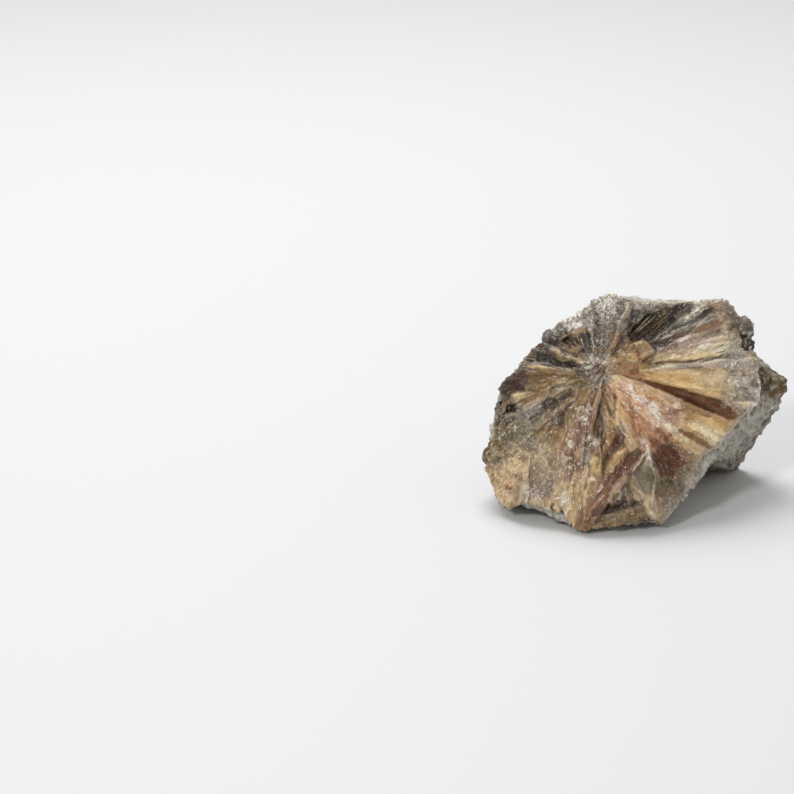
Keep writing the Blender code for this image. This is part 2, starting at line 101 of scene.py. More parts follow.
# The blades, as the corners of their outer faces: (angle, radius, lift off the dome of the face).
BLADES = {
    "gold_right": [
        (356, 2.4, 0.3), (362, 9, 0.6), (361.5, 18, 1.3), (361, 26, 1.4), (352, 26.5, 1.2),
        (348.6, 25, 1.0), (350, 16, 0.9), (353, 8.5, 0.5),
    ],
    "ledge_right": [
        (348, 25, 0.2), (352, 29, -0.1), (347, 30, -0.6), (343, 29, -1.0), (345, 24, -0.8),
    ],
    "groove_blade": [(343, 22, -1.3), (344.5, 29, -0.9), (340, 29, -1.3), (340.5, 24, -1.6)],
    "pink_face": [
        (343, 3.2, 0.4), (343, 11, 0.8), (341, 17, 1.0), (335, 19, 1.3), (325, 19, 1.8),
        (315, 17, 1.9), (307, 16.5, 1.5), (309, 10, 1.0), (315, 4.2, 0.5),
    ],
    "gold_low_right": [(340, 16, 0.9), (339, 27.5, 0.8), (334, 28.4, 0.9), (333, 17, 1.3)],
    "cream_low_right": [(333, 18, 1.2), (334, 28.2, 0.8), (328, 27.8, 0.8), (327, 20, 1.3)],
    "orange_low_right": [(327.5, 19, 0.9), (328.5, 27.2, 0.4), (324, 26.2, 0.2), (323, 20, 0.7)],
    "ivory_low_right": [(323, 18, 1.3), (324, 26, 0.6), (319, 25.6, 0.4), (317, 18, 1.2)],
    "garnet_lens": [
        (319, 16.5, 0.2), (319.5, 24.5, -0.5), (313, 27, -0.9), (305, 25.5, -1.0),
        (299.5, 20, -0.9), (306, 16, 0.0),
    ],
    "olive_lens": [
        (314, 25, -0.6), (316, 28, -1.0), (309, 29.4, -1.2), (304, 27, -1.1), (305, 24, -0.9),
    ],
    "white_slip": [(301, 16.5, 1.0), (303, 17.5, 0.9), (300.5, 20.5, 0.3), (298.5, 18.5, 0.8)],
    "red_ridge": [
        (315, 7, 0.8), (309, 13, 1.3), (306, 17.5, 1.6), (303, 17.5, 1.2), (305, 11, 0.8),
        (309, 7, 0.5),
    ],
    "peach_blade": [
        (300, 4.2, 0.7), (303, 12, 1.1), (301, 17, 1.3), (292, 16.5, 1.4), (291, 12, 1.2),
        (294, 7, 0.7),
    ],
    "cream_edge": [(293, 4.2, 1.0), (292, 14, 1.7), (288.5, 13.5, 1.5), (290, 4.2, 0.8)],
    "purple_notch": [(289, 11.5, -0.4), (287.5, 15, -0.6), (281, 15, -0.6), (283, 12, -0.4)],
    "brown_284": [
        (288, 3.2, 0.3), (285, 12, 0.5), (279, 14.5, 0.5), (279, 9, 0.3), (281, 3.2, 0.2),
    ],
    "grey_276": [(280, 2.4, 0.0), (279, 12, 0.2), (273, 15, 0.2), (272, 8, 0.0), (272, 2.4, 0.0)],
    "rosewood": [
        (303, 16.5, 1.3), (293, 15.5, 1.2), (274, 20, 1.7), (265.5, 26, 1.5), (263.5, 30.5, 0.9),
        (268.5, 28.5, 1.1), (276, 24, 1.6), (289, 20.5, 1.8),
    ],
    "yellow_lens": [
        (292, 15.5, 1.7), (281, 16.2, 1.9), (275, 18.5, 2.0), (275.5, 20.2, 1.9), (284, 18.2, 2.4),
    ],
    "lilac_shard": [(281, 22.5, 1.4), (274.5, 25.5, 1.7), (279.5, 25.6, 0.9)],
    "pale_triangle": [
        (297, 20, 1.6), (299, 22, 1.5), (293, 26.4, 1.0), (291, 29.3, 0.4), (286, 24.8, 1.2),
        (285.5, 21.3, 1.6),
    ],
    "olive_285": [(283, 21, 1.0), (286, 24, 0.9), (283, 26, 0.5), (279, 25, 0.6)],
    "purple_bottom": [
        (291, 26.5, 0.3), (283, 25, 0.7), (272, 27.5, 0.7), (264, 31, 0.2), (270, 29.2, 0.4),
        (284, 28.2, 0.3),
    ],
    "olive_bottom": [
        (291, 28.5, 0.0), (284, 27.8, 0.5), (270, 29.2, 0.6), (263.5, 31.2, 0.2), (272, 30, -0.2),
        (288, 30.2, -0.5),
    ],
    "foot_right": [(293, 29, -0.2), (297, 29.5, -0.4), (294.5, 31.4, -0.8), (291.5, 32, -0.9)],
    "olive_rim": [
        (299, 21.5, 0.6), (304, 26.5, -0.6), (301, 29, -0.9), (295, 29.6, -0.6), (293, 27, 0.2),
    ],
    "amber_266": [
        (272, 2.4, 0.1), (271.5, 15, 0.7), (269, 24, 1.0), (264, 31, 0.6), (260, 30.6, 0.5),
        (262, 20, 1.0), (264, 8, 0.4),
    ],
    "amber_257": [
        (264, 3.2, 0.3), (262, 20, 1.1), (260, 30.4, 0.7), (255.5, 28.2, 0.4), (254, 18, 0.9),
        (257, 7, 0.3),
    ],
    "bright_lens": [
        (256, 6.5, 0.9), (261, 8, 1.2), (262, 12, 1.3), (256.5, 12, 1.2), (252, 9, 0.9),
    ],
    "mauve_plate": [
        (268, 13, 1.2), (270, 17, 1.3), (262, 17.5, 1.5), (256, 16.5, 1.3), (258, 13.5, 1.2),
    ],
    "straw_250": [
        (254, 4.2, 0.2), (253.5, 18, 0.7), (254.5, 28.6, 0.3), (248, 28.6, 0.0), (247.5, 17, 0.4),
        (249, 7, 0.1),
    ],
    "straw_244": [
        (249, 4.2, 0.2), (247.5, 18, 0.3), (247, 28, 0.0), (242, 28, -0.2), (241, 17, 0.0),
        (242, 7, 0.0),
    ],
    "brown_237": [
        (242, 4.2, 0.0), (240.5, 14, 0.2), (239, 19, 0.1), (233, 18, -0.2), (233, 8, 0.0),
    ],
    "mauve_low": [
        (242, 18, 0.5), (243, 28, 0.3), (246.5, 29, -0.1), (239, 29.6, -0.3), (234, 24, 0.3),
        (236, 18, 0.6),
    ],
    "beige_lobe": [
        (236, 18.5, 0.4), (235, 25, 0.6), (237, 30, -0.2), (229, 30.6, -1.0), (221, 29, -1.0),
        (218.5, 27, -0.6), (220, 22, 0.0), (226, 18, 0.3),
    ],
    "lobe_bottom": [
        (236, 29, 0.2), (239.5, 30.2, -0.3), (237.5, 32, -1.6), (233, 32, -1.6), (229, 30.5, -0.6),
    ],
    "brown_226": [(232, 7, 0.0), (231, 16, 0.0), (227, 19, 0.0), (221, 18, -0.3), (224, 8, -0.3)],
    "olive_left": [
        (222, 14, 0.1), (222.5, 23, 0.1), (218, 26, -0.4), (212, 24, -0.4), (204.5, 22, -0.6),
        (207, 17, 0.2), (214, 13, 0.2),
    ],
    "umber_216": [
        (223, 4.2, -0.3), (221, 15, -0.6), (212, 17, -0.6), (210, 12, -0.4), (214, 7, -0.3),
    ],
    "lilac_208": [
        (213, 4.2, 0.2), (211.5, 10, 0.6), (209, 16, 0.9), (206, 15.5, 0.8), (205, 9, 0.4),
    ],
    "olive_gold": [
        (208, 8, 0.3), (206, 15, 0.6), (202.5, 17, 0.5), (199, 16.5, 0.8), (199, 10, 0.6),
    ],
    "cream_chip": [(200.5, 14, 1.3), (198.5, 17.2, 1.5), (195.5, 16.6, 1.6), (196.5, 14, 1.4)],
    "brown_left": [
        (199, 3.2, 0.3), (198, 14, 0.9), (188, 14.5, 1.0), (181, 13, 0.8), (183, 3.2, 0.3),
    ],
    "purple_end": [
        (197.5, 13.8, 0.5), (196, 18.4, -0.1), (190, 19.6, -0.3), (184, 18, -0.2), (179, 15.5, 0.0),
        (180, 12.8, 0.5),
    ],
    "gold_left": [
        (180.5, 2.8, 0.6), (180.5, 12, 1.4), (175, 13, 1.5), (172, 12.5, 1.1), (173, 3.2, 0.6),
    ],
    "purple_left": [
        (171.5, 3.2, -0.5), (172, 12.5, -0.6), (169, 14.4, -0.6), (162, 13, -0.7), (160, 8, -0.6),
        (163, 3.2, -0.4),
    ],
    "grey_158": [
        (163, 10, 0.0), (165, 13.6, -0.2), (157, 13.2, -0.1), (150, 11.8, 0.0), (152, 9.5, 0.2),
    ],
    "pale_153": [(160, 2.4, 0.3), (158, 9.5, 0.6), (152, 10, 0.7), (149, 3.2, 0.4)],
    "grey_143": [
        (149, 2.4, 0.1), (150, 11.2, 0.3), (145, 11.6, 0.4), (139, 11, 0.2), (139, 3.2, 0.0),
    ],
    "fringe_132": [
        (141, 9.8, 0.2), (140, 12, 0.2), (131, 12.4, 0.2), (122, 12.4, 0.3), (123, 9.2, 0.2),
    ],
    "fringe_115": [
        (123, 8.8, 0.1), (122, 12.2, 0.2), (112, 12.4, 0.4), (104, 11.8, 0.4), (105, 8.6, 0.2),
    ],
    "grey_110": [(118, 2.4, -0.1), (117, 8.8, 0.0), (106, 9, 0.2), (105, 2.4, 0.0)],
    "grey_98": [
        (105, 2.4, 0.2), (104.5, 11.8, 0.5), (96, 12.2, 0.6), (92, 11.5, 0.5), (92, 2.4, 0.2),
    ],
    "spur_85": [(93, 2.4, 0.3), (94.5, 14, 0.9), (86, 14.4, 1.2), (78, 14.2, 1.1), (77, 2.4, 0.4)],
    "spur_top": [
        (95, 13.5, 0.8), (94, 14.2, 0.4), (80, 16, 0.2), (72, 15.9, 0.1), (66, 15.2, 0.4),
        (72, 13.5, 1.2),
    ],
    "spur_70": [(78, 2.4, 0.5), (78, 13.5, 1.1), (66, 14.5, 0.9), (60, 12, 0.7), (60, 2.8, 0.5)],
    "crust_58": [(62, 11, 0.3), (66, 15, 0.3), (52, 17.2, -0.1), (46, 17, -0.2), (50, 13.5, 0.0)],
    "chips_50": [(62, 2.4, 0.6), (60, 9.5, 1.2), (48, 9.5, 1.2), (40, 8, 1.0), (42, 2.4, 0.6)],
    "slab_edge": [(39.7, 9.5, -0.4), (38.4, 19.5, 0.2), (37.4, 19.5, 0.0), (38.2, 9.5, -0.6)],
    "needle_upper": [(46.4, 10.6, 0.2), (46.2, 15.6, 0.8), (45.2, 15.7, 0.8), (45.4, 10.6, 0.2)],
    "needle_lower": [(44.8, 10.8, 0.1), (44.4, 16.6, 0.9), (43.4, 16.6, 0.8), (43.6, 10.8, 0.1)],
    "top_crust": [
        (48, 17, 0.2), (44, 19.2, 0.1), (36.5, 23.8, 0.0), (30, 29.2, -0.2), (28, 29, -0.4),
        (34, 23.5, 0.1),
    ],
    "white_chip": [(31.5, 20.5, 0.3), (31.8, 25.5, 0.6), (29.6, 25.5, 0.8), (28.8, 20.5, 0.5)],
    "slate_27": [
        (30.5, 13, -0.7), (30.5, 20, -0.2), (29.5, 27, 0.1), (25.5, 27.8, 0.3), (24, 20, 0.2),
        (24.5, 13, -0.4),
    ],
    "slate_22": [(25, 12.5, -0.3), (25, 27.5, 0.6), (20, 27.3, 0.9), (19, 14, 0.1)],
    "lavender_17": [
        (20.5, 13, 0.1), (20.5, 27, 0.9), (15, 26.5, 1.3), (14, 17, 0.9), (14.5, 12, 0.4),
    ],
    "cream_12": [
        (15, 12, 0.6), (15, 26.2, 1.7), (11.5, 26.5, 1.9), (9.5, 27, 1.6), (7, 24, 1.4),
        (6, 20, 1.2), (8.5, 12, 0.6),
    ],
    "brown_7": [(9, 9, 0.2), (7, 20.5, 0.5), (4.5, 19, 0.3), (4, 10, 0.1)],
    "mauve_right": [
        (5, 12, 0.0), (4.5, 19, 0.0), (6.8, 24.5, 0.2), (9.5, 27.5, 0.2), (11.5, 29.8, 0.0),
        (6, 31, 0.0), (1, 29.5, 0.2), (1, 14, 0.1),
    ],
    "corner_25": [(29.5, 27, 0.2), (30, 29.8, -0.2), (25, 31, -0.3), (21, 30, -0.3), (21, 27, 0.4)],
    "rim_6": [(12, 29, 0.2), (11.5, 31.4, -0.2), (4, 32.6, -0.4), (0, 31.5, -0.2), (1, 29, 0.2)],
    "rose_rim": [
        (361, 26, 0.5), (361, 32.4, -0.2), (354, 33.2, -0.4), (347.5, 31.4, -0.8), (349, 28, -0.3),
        (351.5, 26, 0.4),
    ],
    "chip_gold": [(22, 2.2, 0.8), (20, 8.5, 1.3), (8, 9, 0.9), (4, 2.4, 0.5)],
    "chip_brown": [(45, 2.4, 0.7), (40, 8, 1.2), (26, 7.5, 1.3), (22, 2.2, 0.7)],
    "chip_beige": [(36, 8, 1.2), (33, 11.3, 0.9), (21, 11.6, 0.9), (20, 8.5, 1.4), (28, 7, 1.5)],
    "heart": [
        (10, 3.4, -0.5), (55, 3.0, -0.4), (110, 3.4, -0.6), (160, 3.1, -0.6), (205, 3.5, -0.6),
        (250, 3.1, -0.4), (300, 3.4, -0.4), (340, 3.2, -0.3), (80, 1.2, 0.0), (220, 1.4, -0.1),
        (330, 1.0, 0.1),
    ],
}
BLADE_LIFT = 1.35
BLADE_SPREAD = 0.35
BLADE_TILT = 0.14
BLADE_MOST_TILT = 0.7

# Blades that aren't tilted, and blades that stand in the valleys.
FLAT_BLADES = ("heart", "pink_face", "beige_lobe", "spur_top")
VALLEY_BLADES = ("groove_blade", "slab_edge", "needle_upper", "needle_lower")

# Valleys cut between the blades, as corners on the face with a floor depth below the dome.
VALLEYS = {
    "dark_groove": [
        (351, 7, 0.9), (349, 16, 2.2), (347.6, 25, 2.8), (343, 29.5, 2.8), (339.4, 27.5, 2.8),
        (341, 18, 2.4), (346, 8, 1.0),
    ],
    "black_slabs": [
        (52, 9, 1.8), (49, 15, 2.0), (39, 21.5, 1.9), (34.5, 24, 1.8), (31.8, 22, 2.0),
        (30, 12, 2.6), (40, 8.8, 2.2),
    ],
    "brown_hollow": [
        (139, 5, 1.0), (138.5, 9.4, 1.9), (124, 9.0, 2.0), (118.5, 8.4, 1.8), (119, 5, 1.1),
    ],
    "left_notch": [(196.6, 22, 6.0), (197.6, 19.4, 6.0), (200.5, 20.4, 6.0), (200.2, 23.5, 6.0)],
    "rim_pit": [(207, 17.5, 1.4), (205, 20.4, 1.9), (200, 18.6, 1.9), (201.5, 17, 1.2)],
}

# Rounded crystals at the broken rim: centre (across, back, up) and the three radii.
LUMPS = [
    ((22.3, 17.0, 40.0), (2.6, 3.2, 2.6)), ((22.4, 16.6, 36.6), (2.6, 3.2, 2.0)),
    ((29.2, 21.0, 29.0), (2.6, 3.6, 2.7)), ((26.0, 18.0, 29.6), (2.0, 3.0, 2.2)),
    ((-28.0, 14.6, 15.0), (1.9, 3.2, 2.4)), ((-16.4, 12.8, 38.2), (1.8, 2.8, 1.8)),
    ((-10.6, 13.4, 41.6), (2.4, 2.8, 1.7)), ((6.4, 16.0, 44.0), (3.6, 3.6, 1.8)),
    ((17.0, 29.4, 14.4), (4.0, 5.4, 3.2)), ((18.6, 19.6, 20.4), (4.6, 5.0, 3.8)),
    ((25.6, 21.6, 25.2), (3.8, 4.4, 3.8)), ((-8.0, 31.0, 20.0), (8.6, 7.6, 7.8)),
    ((4.0, 28.6, 30.0), (8.8, 8.0, 8.6)), ((-14.0, 25.0, 28.0), (7.4, 7.6, 7.8)),
    ((14.0, 25.2, 30.0), (8.6, 8.0, 8.0)), ((-18.8, 24.0, 14.6), (6.8, 8.0, 6.8)),
    ((5.0, 33.0, 18.0), (7.2, 6.4, 5.8)),
]

# Lumps of their own tone, by their place in the list above.
LUMP_TONES = {0: "grey", 1: "umber", 2: "tawny", 3: "olive", 4: "olive", 5: "slate"}

# Tones of the mineral, as 8-bit sRGB.
TONES = {
    "gold": (208, 170, 112), "pale_gold": (220, 190, 140), "honey": (172, 130, 82),
    "amber": (146, 104, 64), "russet": (148, 94, 60), "brown": (104, 68, 42), "umber": (60, 39, 25),
    "black": (22, 15, 11), "rosewood": (114, 74, 50), "garnet": (98, 54, 34),
    "maroon": (128, 54, 46), "plum": (76, 52, 42), "tawny": (130, 100, 48),
    "rose": (180, 142, 118), "peach": (210, 160, 116), "mauve": (142, 122, 106),
    "lilac": (186, 177, 165), "slate": (134, 127, 116), "grey": (130, 120, 104),
    "ivory": (234, 218, 184), "cream": (222, 196, 148), "straw": (174, 140, 94),
    "yellow": (214, 180, 104), "olive": (116, 96, 58), "beige": (194, 168, 130),
    "white": (236, 230, 220), "stone": (158, 154, 142), "haze": (206, 193, 174),
}

# Finish of each blade: tone at its inner end, tone at its outer end, how granular it is and how
# frosted.
FINISHES = {
    "gold_right": ("gold", "pale_gold", 0.05, 0.3), "ledge_right": ("beige", "rose", 0.4, 0.5),
    "groove_blade": ("umber", "umber", 0.1, 0.1), "pink_face": ("peach", "rose", 0.1, 0.9),
    "gold_low_right": ("amber", "gold", 0.05, 0.3),
    "cream_low_right": ("pale_gold", "ivory", 0.1, 0.5),
    "orange_low_right": ("gold", "pale_gold", 0.05, 0.3),
    "ivory_low_right": ("gold", "beige", 0.15, 0.6), "garnet_lens": ("russet", "garnet", 0.1, 0.1),
    "olive_lens": ("grey", "lilac", 0.5, 0.4), "white_slip": ("beige", "beige", 0.1, 0.6),
    "red_ridge": ("peach", "peach", 0.05, 0.2), "peach_blade": ("peach", "beige", 0.1, 0.5),
    "cream_edge": ("umber", "umber", 0.05, 0.3), "purple_notch": ("honey", "russet", 0.1, 0.1),
    "brown_284": ("amber", "gold", 0.05, 0.3), "grey_276": ("grey", "mauve", 0.1, 0.4),
    "rosewood": ("rosewood", "rosewood", 0.02, 0.1), "yellow_lens": ("amber", "tawny", 0.02, 0.2),
    "lilac_shard": ("umber", "umber", 0.2, 0.1), "pale_triangle": ("grey", "beige", 0.05, 0.3),
    "olive_285": ("olive", "olive", 0.2, 0.3), "purple_bottom": ("mauve", "mauve", 0.1, 0.3),
    "olive_bottom": ("olive", "straw", 0.1, 0.3), "foot_right": ("grey", "beige", 0.5, 0.4),
    "olive_rim": ("olive", "grey", 0.5, 0.4), "amber_266": ("brown", "straw", 0.15, 0.5),
    "amber_257": ("mauve", "beige", 0.2, 0.5), "bright_lens": ("rosewood", "rosewood", 0.05, 0.4),
    "mauve_plate": ("mauve", "rosewood", 0.2, 0.5), "straw_250": ("rosewood", "beige", 0.25, 0.5),
    "straw_244": ("straw", "mauve", 0.25, 0.5), "brown_237": ("tawny", "olive", 0.2, 0.3),
    "mauve_low": ("beige", "mauve", 0.4, 0.8), "beige_lobe": ("grey", "beige", 0.7, 0.6),
    "lobe_bottom": ("beige", "cream", 0.4, 0.4), "brown_226": ("brown", "olive", 0.3, 0.4),
    "olive_left": ("grey", "olive", 0.5, 0.6), "umber_216": ("grey", "brown", 0.2, 0.3),
    "lilac_208": ("olive", "grey", 0.2, 0.4), "olive_gold": ("tawny", "olive", 0.1, 0.3),
    "cream_chip": ("olive", "straw", 0.1, 0.3), "brown_left": ("tawny", "brown", 0.05, 0.2),
    "purple_end": ("umber", "umber", 0.1, 0.1), "gold_left": ("umber", "olive", 0.05, 0.05),
    "purple_left": ("umber", "umber", 0.1, 0.1), "grey_158": ("grey", "umber", 0.4, 0.4),
    "pale_153": ("umber", "umber", 0.2, 0.1), "grey_143": ("umber", "umber", 0.2, 0.1),
    "fringe_132": ("umber", "grey", 0.2, 0.7), "fringe_115": ("white", "white", 0.2, 0.9),
    "grey_110": ("umber", "umber", 0.2, 0.3), "grey_98": ("umber", "umber", 0.3, 0.4),
    "spur_85": ("umber", "lilac", 0.5, 0.7), "spur_top": ("lilac", "white", 0.8, 0.9),
    "spur_70": ("umber", "grey", 0.5, 0.5), "crust_58": ("mauve", "lilac", 0.6, 0.6),
    "chips_50": ("straw", "umber", 0.4, 0.4), "slab_edge": ("umber", "straw", 0.05, 0.3),
    "needle_upper": ("ivory", "ivory", 0.0, 0.6), "needle_lower": ("ivory", "ivory", 0.0, 0.6),
    "top_crust": ("grey", "white", 0.7, 0.8), "white_chip": ("slate", "umber", 0.05, 0.7),
    "slate_27": ("umber", "black", 0.2, 0.3), "slate_22": ("umber", "mauve", 0.15, 0.3),
    "lavender_17": ("mauve", "mauve", 0.15, 0.5), "cream_12": ("cream", "ivory", 0.1, 0.8),
    "brown_7": ("umber", "black", 0.1, 0.1), "mauve_right": ("stone", "lilac", 0.1, 0.6),
    "corner_25": ("beige", "stone", 0.4, 0.5), "rim_6": ("haze", "white", 0.6, 0.6),
    "rose_rim": ("haze", "white", 0.6, 0.8), "chip_gold": ("amber", "straw", 0.15, 0.3),
    "chip_brown": ("beige", "brown", 0.3, 0.4), "chip_beige": ("straw", "brown", 0.2, 0.4),
    "heart": ("grey", "umber", 0.7, 0.4), "groove_floor": ("russet", "russet", 0.05, 0.0),
    "slab_a": ("black", "olive", 0.05, 0.1), "slab_b": ("black", "black", 0.05, 0.05),
    "slab_top": ("umber", "grey", 0.2, 0.4), "hollow_floor": ("straw", "umber", 0.3, 0.3),
}

# Blades too low to tell from the rock in the solid: the floors of the valleys.
FLOOR_BLADES = {
    "groove_floor": [
        (350, 8, -0.7), (348.6, 16, -1.4), (346.6, 25.5, -1.9), (343, 28.6, -1.9), (340, 27, -1.9),
        (341.5, 18, -1.6), (345, 9, -0.8),
    ],
    "slab_a": [(50, 9.4, -1.2), (47, 15.4, -1.2), (39.5, 19, -1.0), (38.6, 10, -1.5)],
    "slab_b": [
        (38.4, 9.6, -1.4), (37.6, 19, -1.1), (35, 23, -1.1), (32.4, 21.4, -1.3), (30.4, 12.4, -1.8),
    ],
    "slab_top": [(43, 17.6, -0.9), (37.5, 22.8, -0.7), (34.4, 24, -0.9), (37, 18.6, -1.1)],
    "hollow_floor": [
        (138, 5.4, -0.7), (137.5, 9.2, -1.2), (124, 8.8, -1.3), (119.4, 8.2, -1.1),
        (120, 5.2, -0.7),
    ],
}
GRAIN_ANGLES = {
    "rosewood": 234, "yellow_lens": 232, "purple_bottom": 197, "olive_bottom": 190,
    "foot_right": 280, "straw_250": 268, "straw_244": 266, "brown_237": 262, "mauve_low": 264,
    "amber_266": 252,
}

# Veins of colour along the face, each from (angle, radius) to (angle, radius): width, tone, how
# far it stands up.
VEINS = [
    ((46.2, 10.4), (45.8, 15.8), 0.22, "white", 1.0),
    ((44.2, 10.8), (43.2, 16.4), 0.2, "ivory", 0.9), ((39.4, 9.6), (38, 19.4), 0.13, "mauve", 0.6),
    ((33, 12.6), (32.6, 20), 0.16, "umber", 0.3), ((352, 8), (350.6, 24), 0.35, "pale_gold", 0.1),
    ((356.5, 9), (355.5, 20), 0.5, "honey", -0.1), ((0.3, 8), (0.2, 25), 0.25, "cream", 0.12),
    ((349.6, 16), (349.2, 24.5), 0.3, "gold", 0.1),
    ((318.6, 5.6), (304.6, 15.4), 0.55, "russet", 0.25),
    ((309, 12), (304, 17.6), 0.7, "russet", 0.1), ((331.6, 20.6), (331.4, 28), 1.2, "ivory", 0.15),
    ((324.8, 20), (326.4, 26.6), 0.75, "amber", -0.15),
    ((322.6, 16), (322.4, 24.6), 0.5, "ivory", 0.2), ((336, 8), (336.5, 18), 0.9, "gold", 0.05),
    ((9.4, 10), (6.4, 21), 0.28, "brown", -0.3), ((6.4, 20), (9.6, 26.5), 0.26, "brown", -0.25),
    ((8.6, 12), (8.2, 24), 0.45, "cream", 0.15), ((13.4, 19.4), (13.2, 23.4), 0.45, "white", 0.25),
    ((11.4, 14), (12.4, 25.6), 0.35, "ivory", 0.15), ((10, 22), (9.8, 26), 0.3, "white", 0.15),
    ((24, 20), (21.6, 27), 0.32, "amber", 0.1), ((22.4, 15), (23.2, 20), 0.35, "honey", 0.1),
    ((28, 14), (26.4, 26), 0.4, "lilac", 0.12), ((30, 14), (28.4, 20), 0.4, "black", -0.2),
    ((3.4, 13), (4.4, 26), 0.3, "lilac", 0.1), ((2, 14), (1.6, 27), 0.35, "rose", 0.05),
    ((36, 12), (34, 21), 0.3, "olive", 0.15), ((41.5, 10.5), (39.6, 17.5), 0.35, "brown", 0.15),
    ((48.5, 10), (45.6, 16.4), 0.3, "brown", 0.1), ((170.5, 3.4), (172.6, 14), 0.35, "black", -0.3),
    ((166, 4), (165, 12), 0.5, "plum", -0.1), ((153, 3), (152, 9.6), 0.3, "cream", 0.2),
    ((158, 3), (157, 9), 0.25, "beige", 0.15), ((144, 3), (143, 10), 0.35, "umber", -0.15),
    ((177, 9), (176.4, 13.2), 0.5, "cream", 0.15), ((186, 6), (189, 14), 0.6, "amber", -0.1),
    ((192, 5), (193.5, 13), 0.35, "gold", 0.1), ((205, 4), (207, 9), 0.35, "beige", 0.15),
    ((214, 6), (213, 14), 0.5, "black", -0.3), ((221, 4), (224, 15), 0.35, "beige", 0.15),
    ((228, 5), (229.5, 16), 0.3, "umber", -0.2), ((243, 5), (244, 27), 0.3, "straw", 0.15),
    ((256.5, 18), (257.6, 29), 0.3, "gold", 0.15), ((266, 4), (265.6, 13), 0.4, "russet", 0.1),
    ((264.4, 18), (264.2, 29), 0.4, "cream", 0.15), ((268, 15), (267.6, 22), 0.5, "pale_gold", 0.2),
    ((271.6, 4), (271.8, 15), 0.35, "umber", -0.2), ((275, 4), (275.5, 13), 0.3, "lilac", 0.1),
    ((283, 4), (283.4, 12), 0.35, "gold", 0.15), ((287.4, 4), (286.6, 11.5), 0.35, "plum", -0.2),
    ((291.4, 4.4), (291, 13), 0.4, "ivory", 0.25), ((296, 5), (297.4, 15), 0.4, "honey", 0.05),
    ((301.6, 6), (303, 15), 0.3, "peach", 0.12), ((303.2, 15), (301.6, 21), 0.45, "white", 0.15),
    ((302.6, 17.2), (297.8, 22.8), 0.3, "white", 0.7),
    ((297.8, 22.8), (290.6, 28.2), 0.28, "haze", 0.6),
    ((302, 17.6), (287.4, 20.4), 0.26, "white", 0.6),
    ((286, 21.6), (290.6, 28.6), 0.3, "cream", 0.2),
    ((281.8, 22.8), (275, 25.6), 0.3, "lilac", 0.15), ((278, 20.2), (264.6, 30), 0.3, "peach", 0.2),
    ((303, 17), (276, 23.6), 0.3, "rose", 0.12), ((61, 4), (58, 10.4), 0.35, "russet", 0.15),
    ((70, 4), (70, 12.6), 0.35, "lilac", 0.15), ((82, 4), (82, 13), 0.3, "lilac", 0.12),
    ((88, 3), (88.6, 12.6), 0.35, "mauve", -0.1), ((100, 3), (100, 11.4), 0.3, "white", 0.12),
    ((106, 3), (106, 9), 0.3, "umber", -0.2), ((64.5, 1.9), (31, 1.0), 0.5, "garnet", -0.6),
    ((31, 1.0), (290, 1.2), 0.35, "plum", -0.4),
]

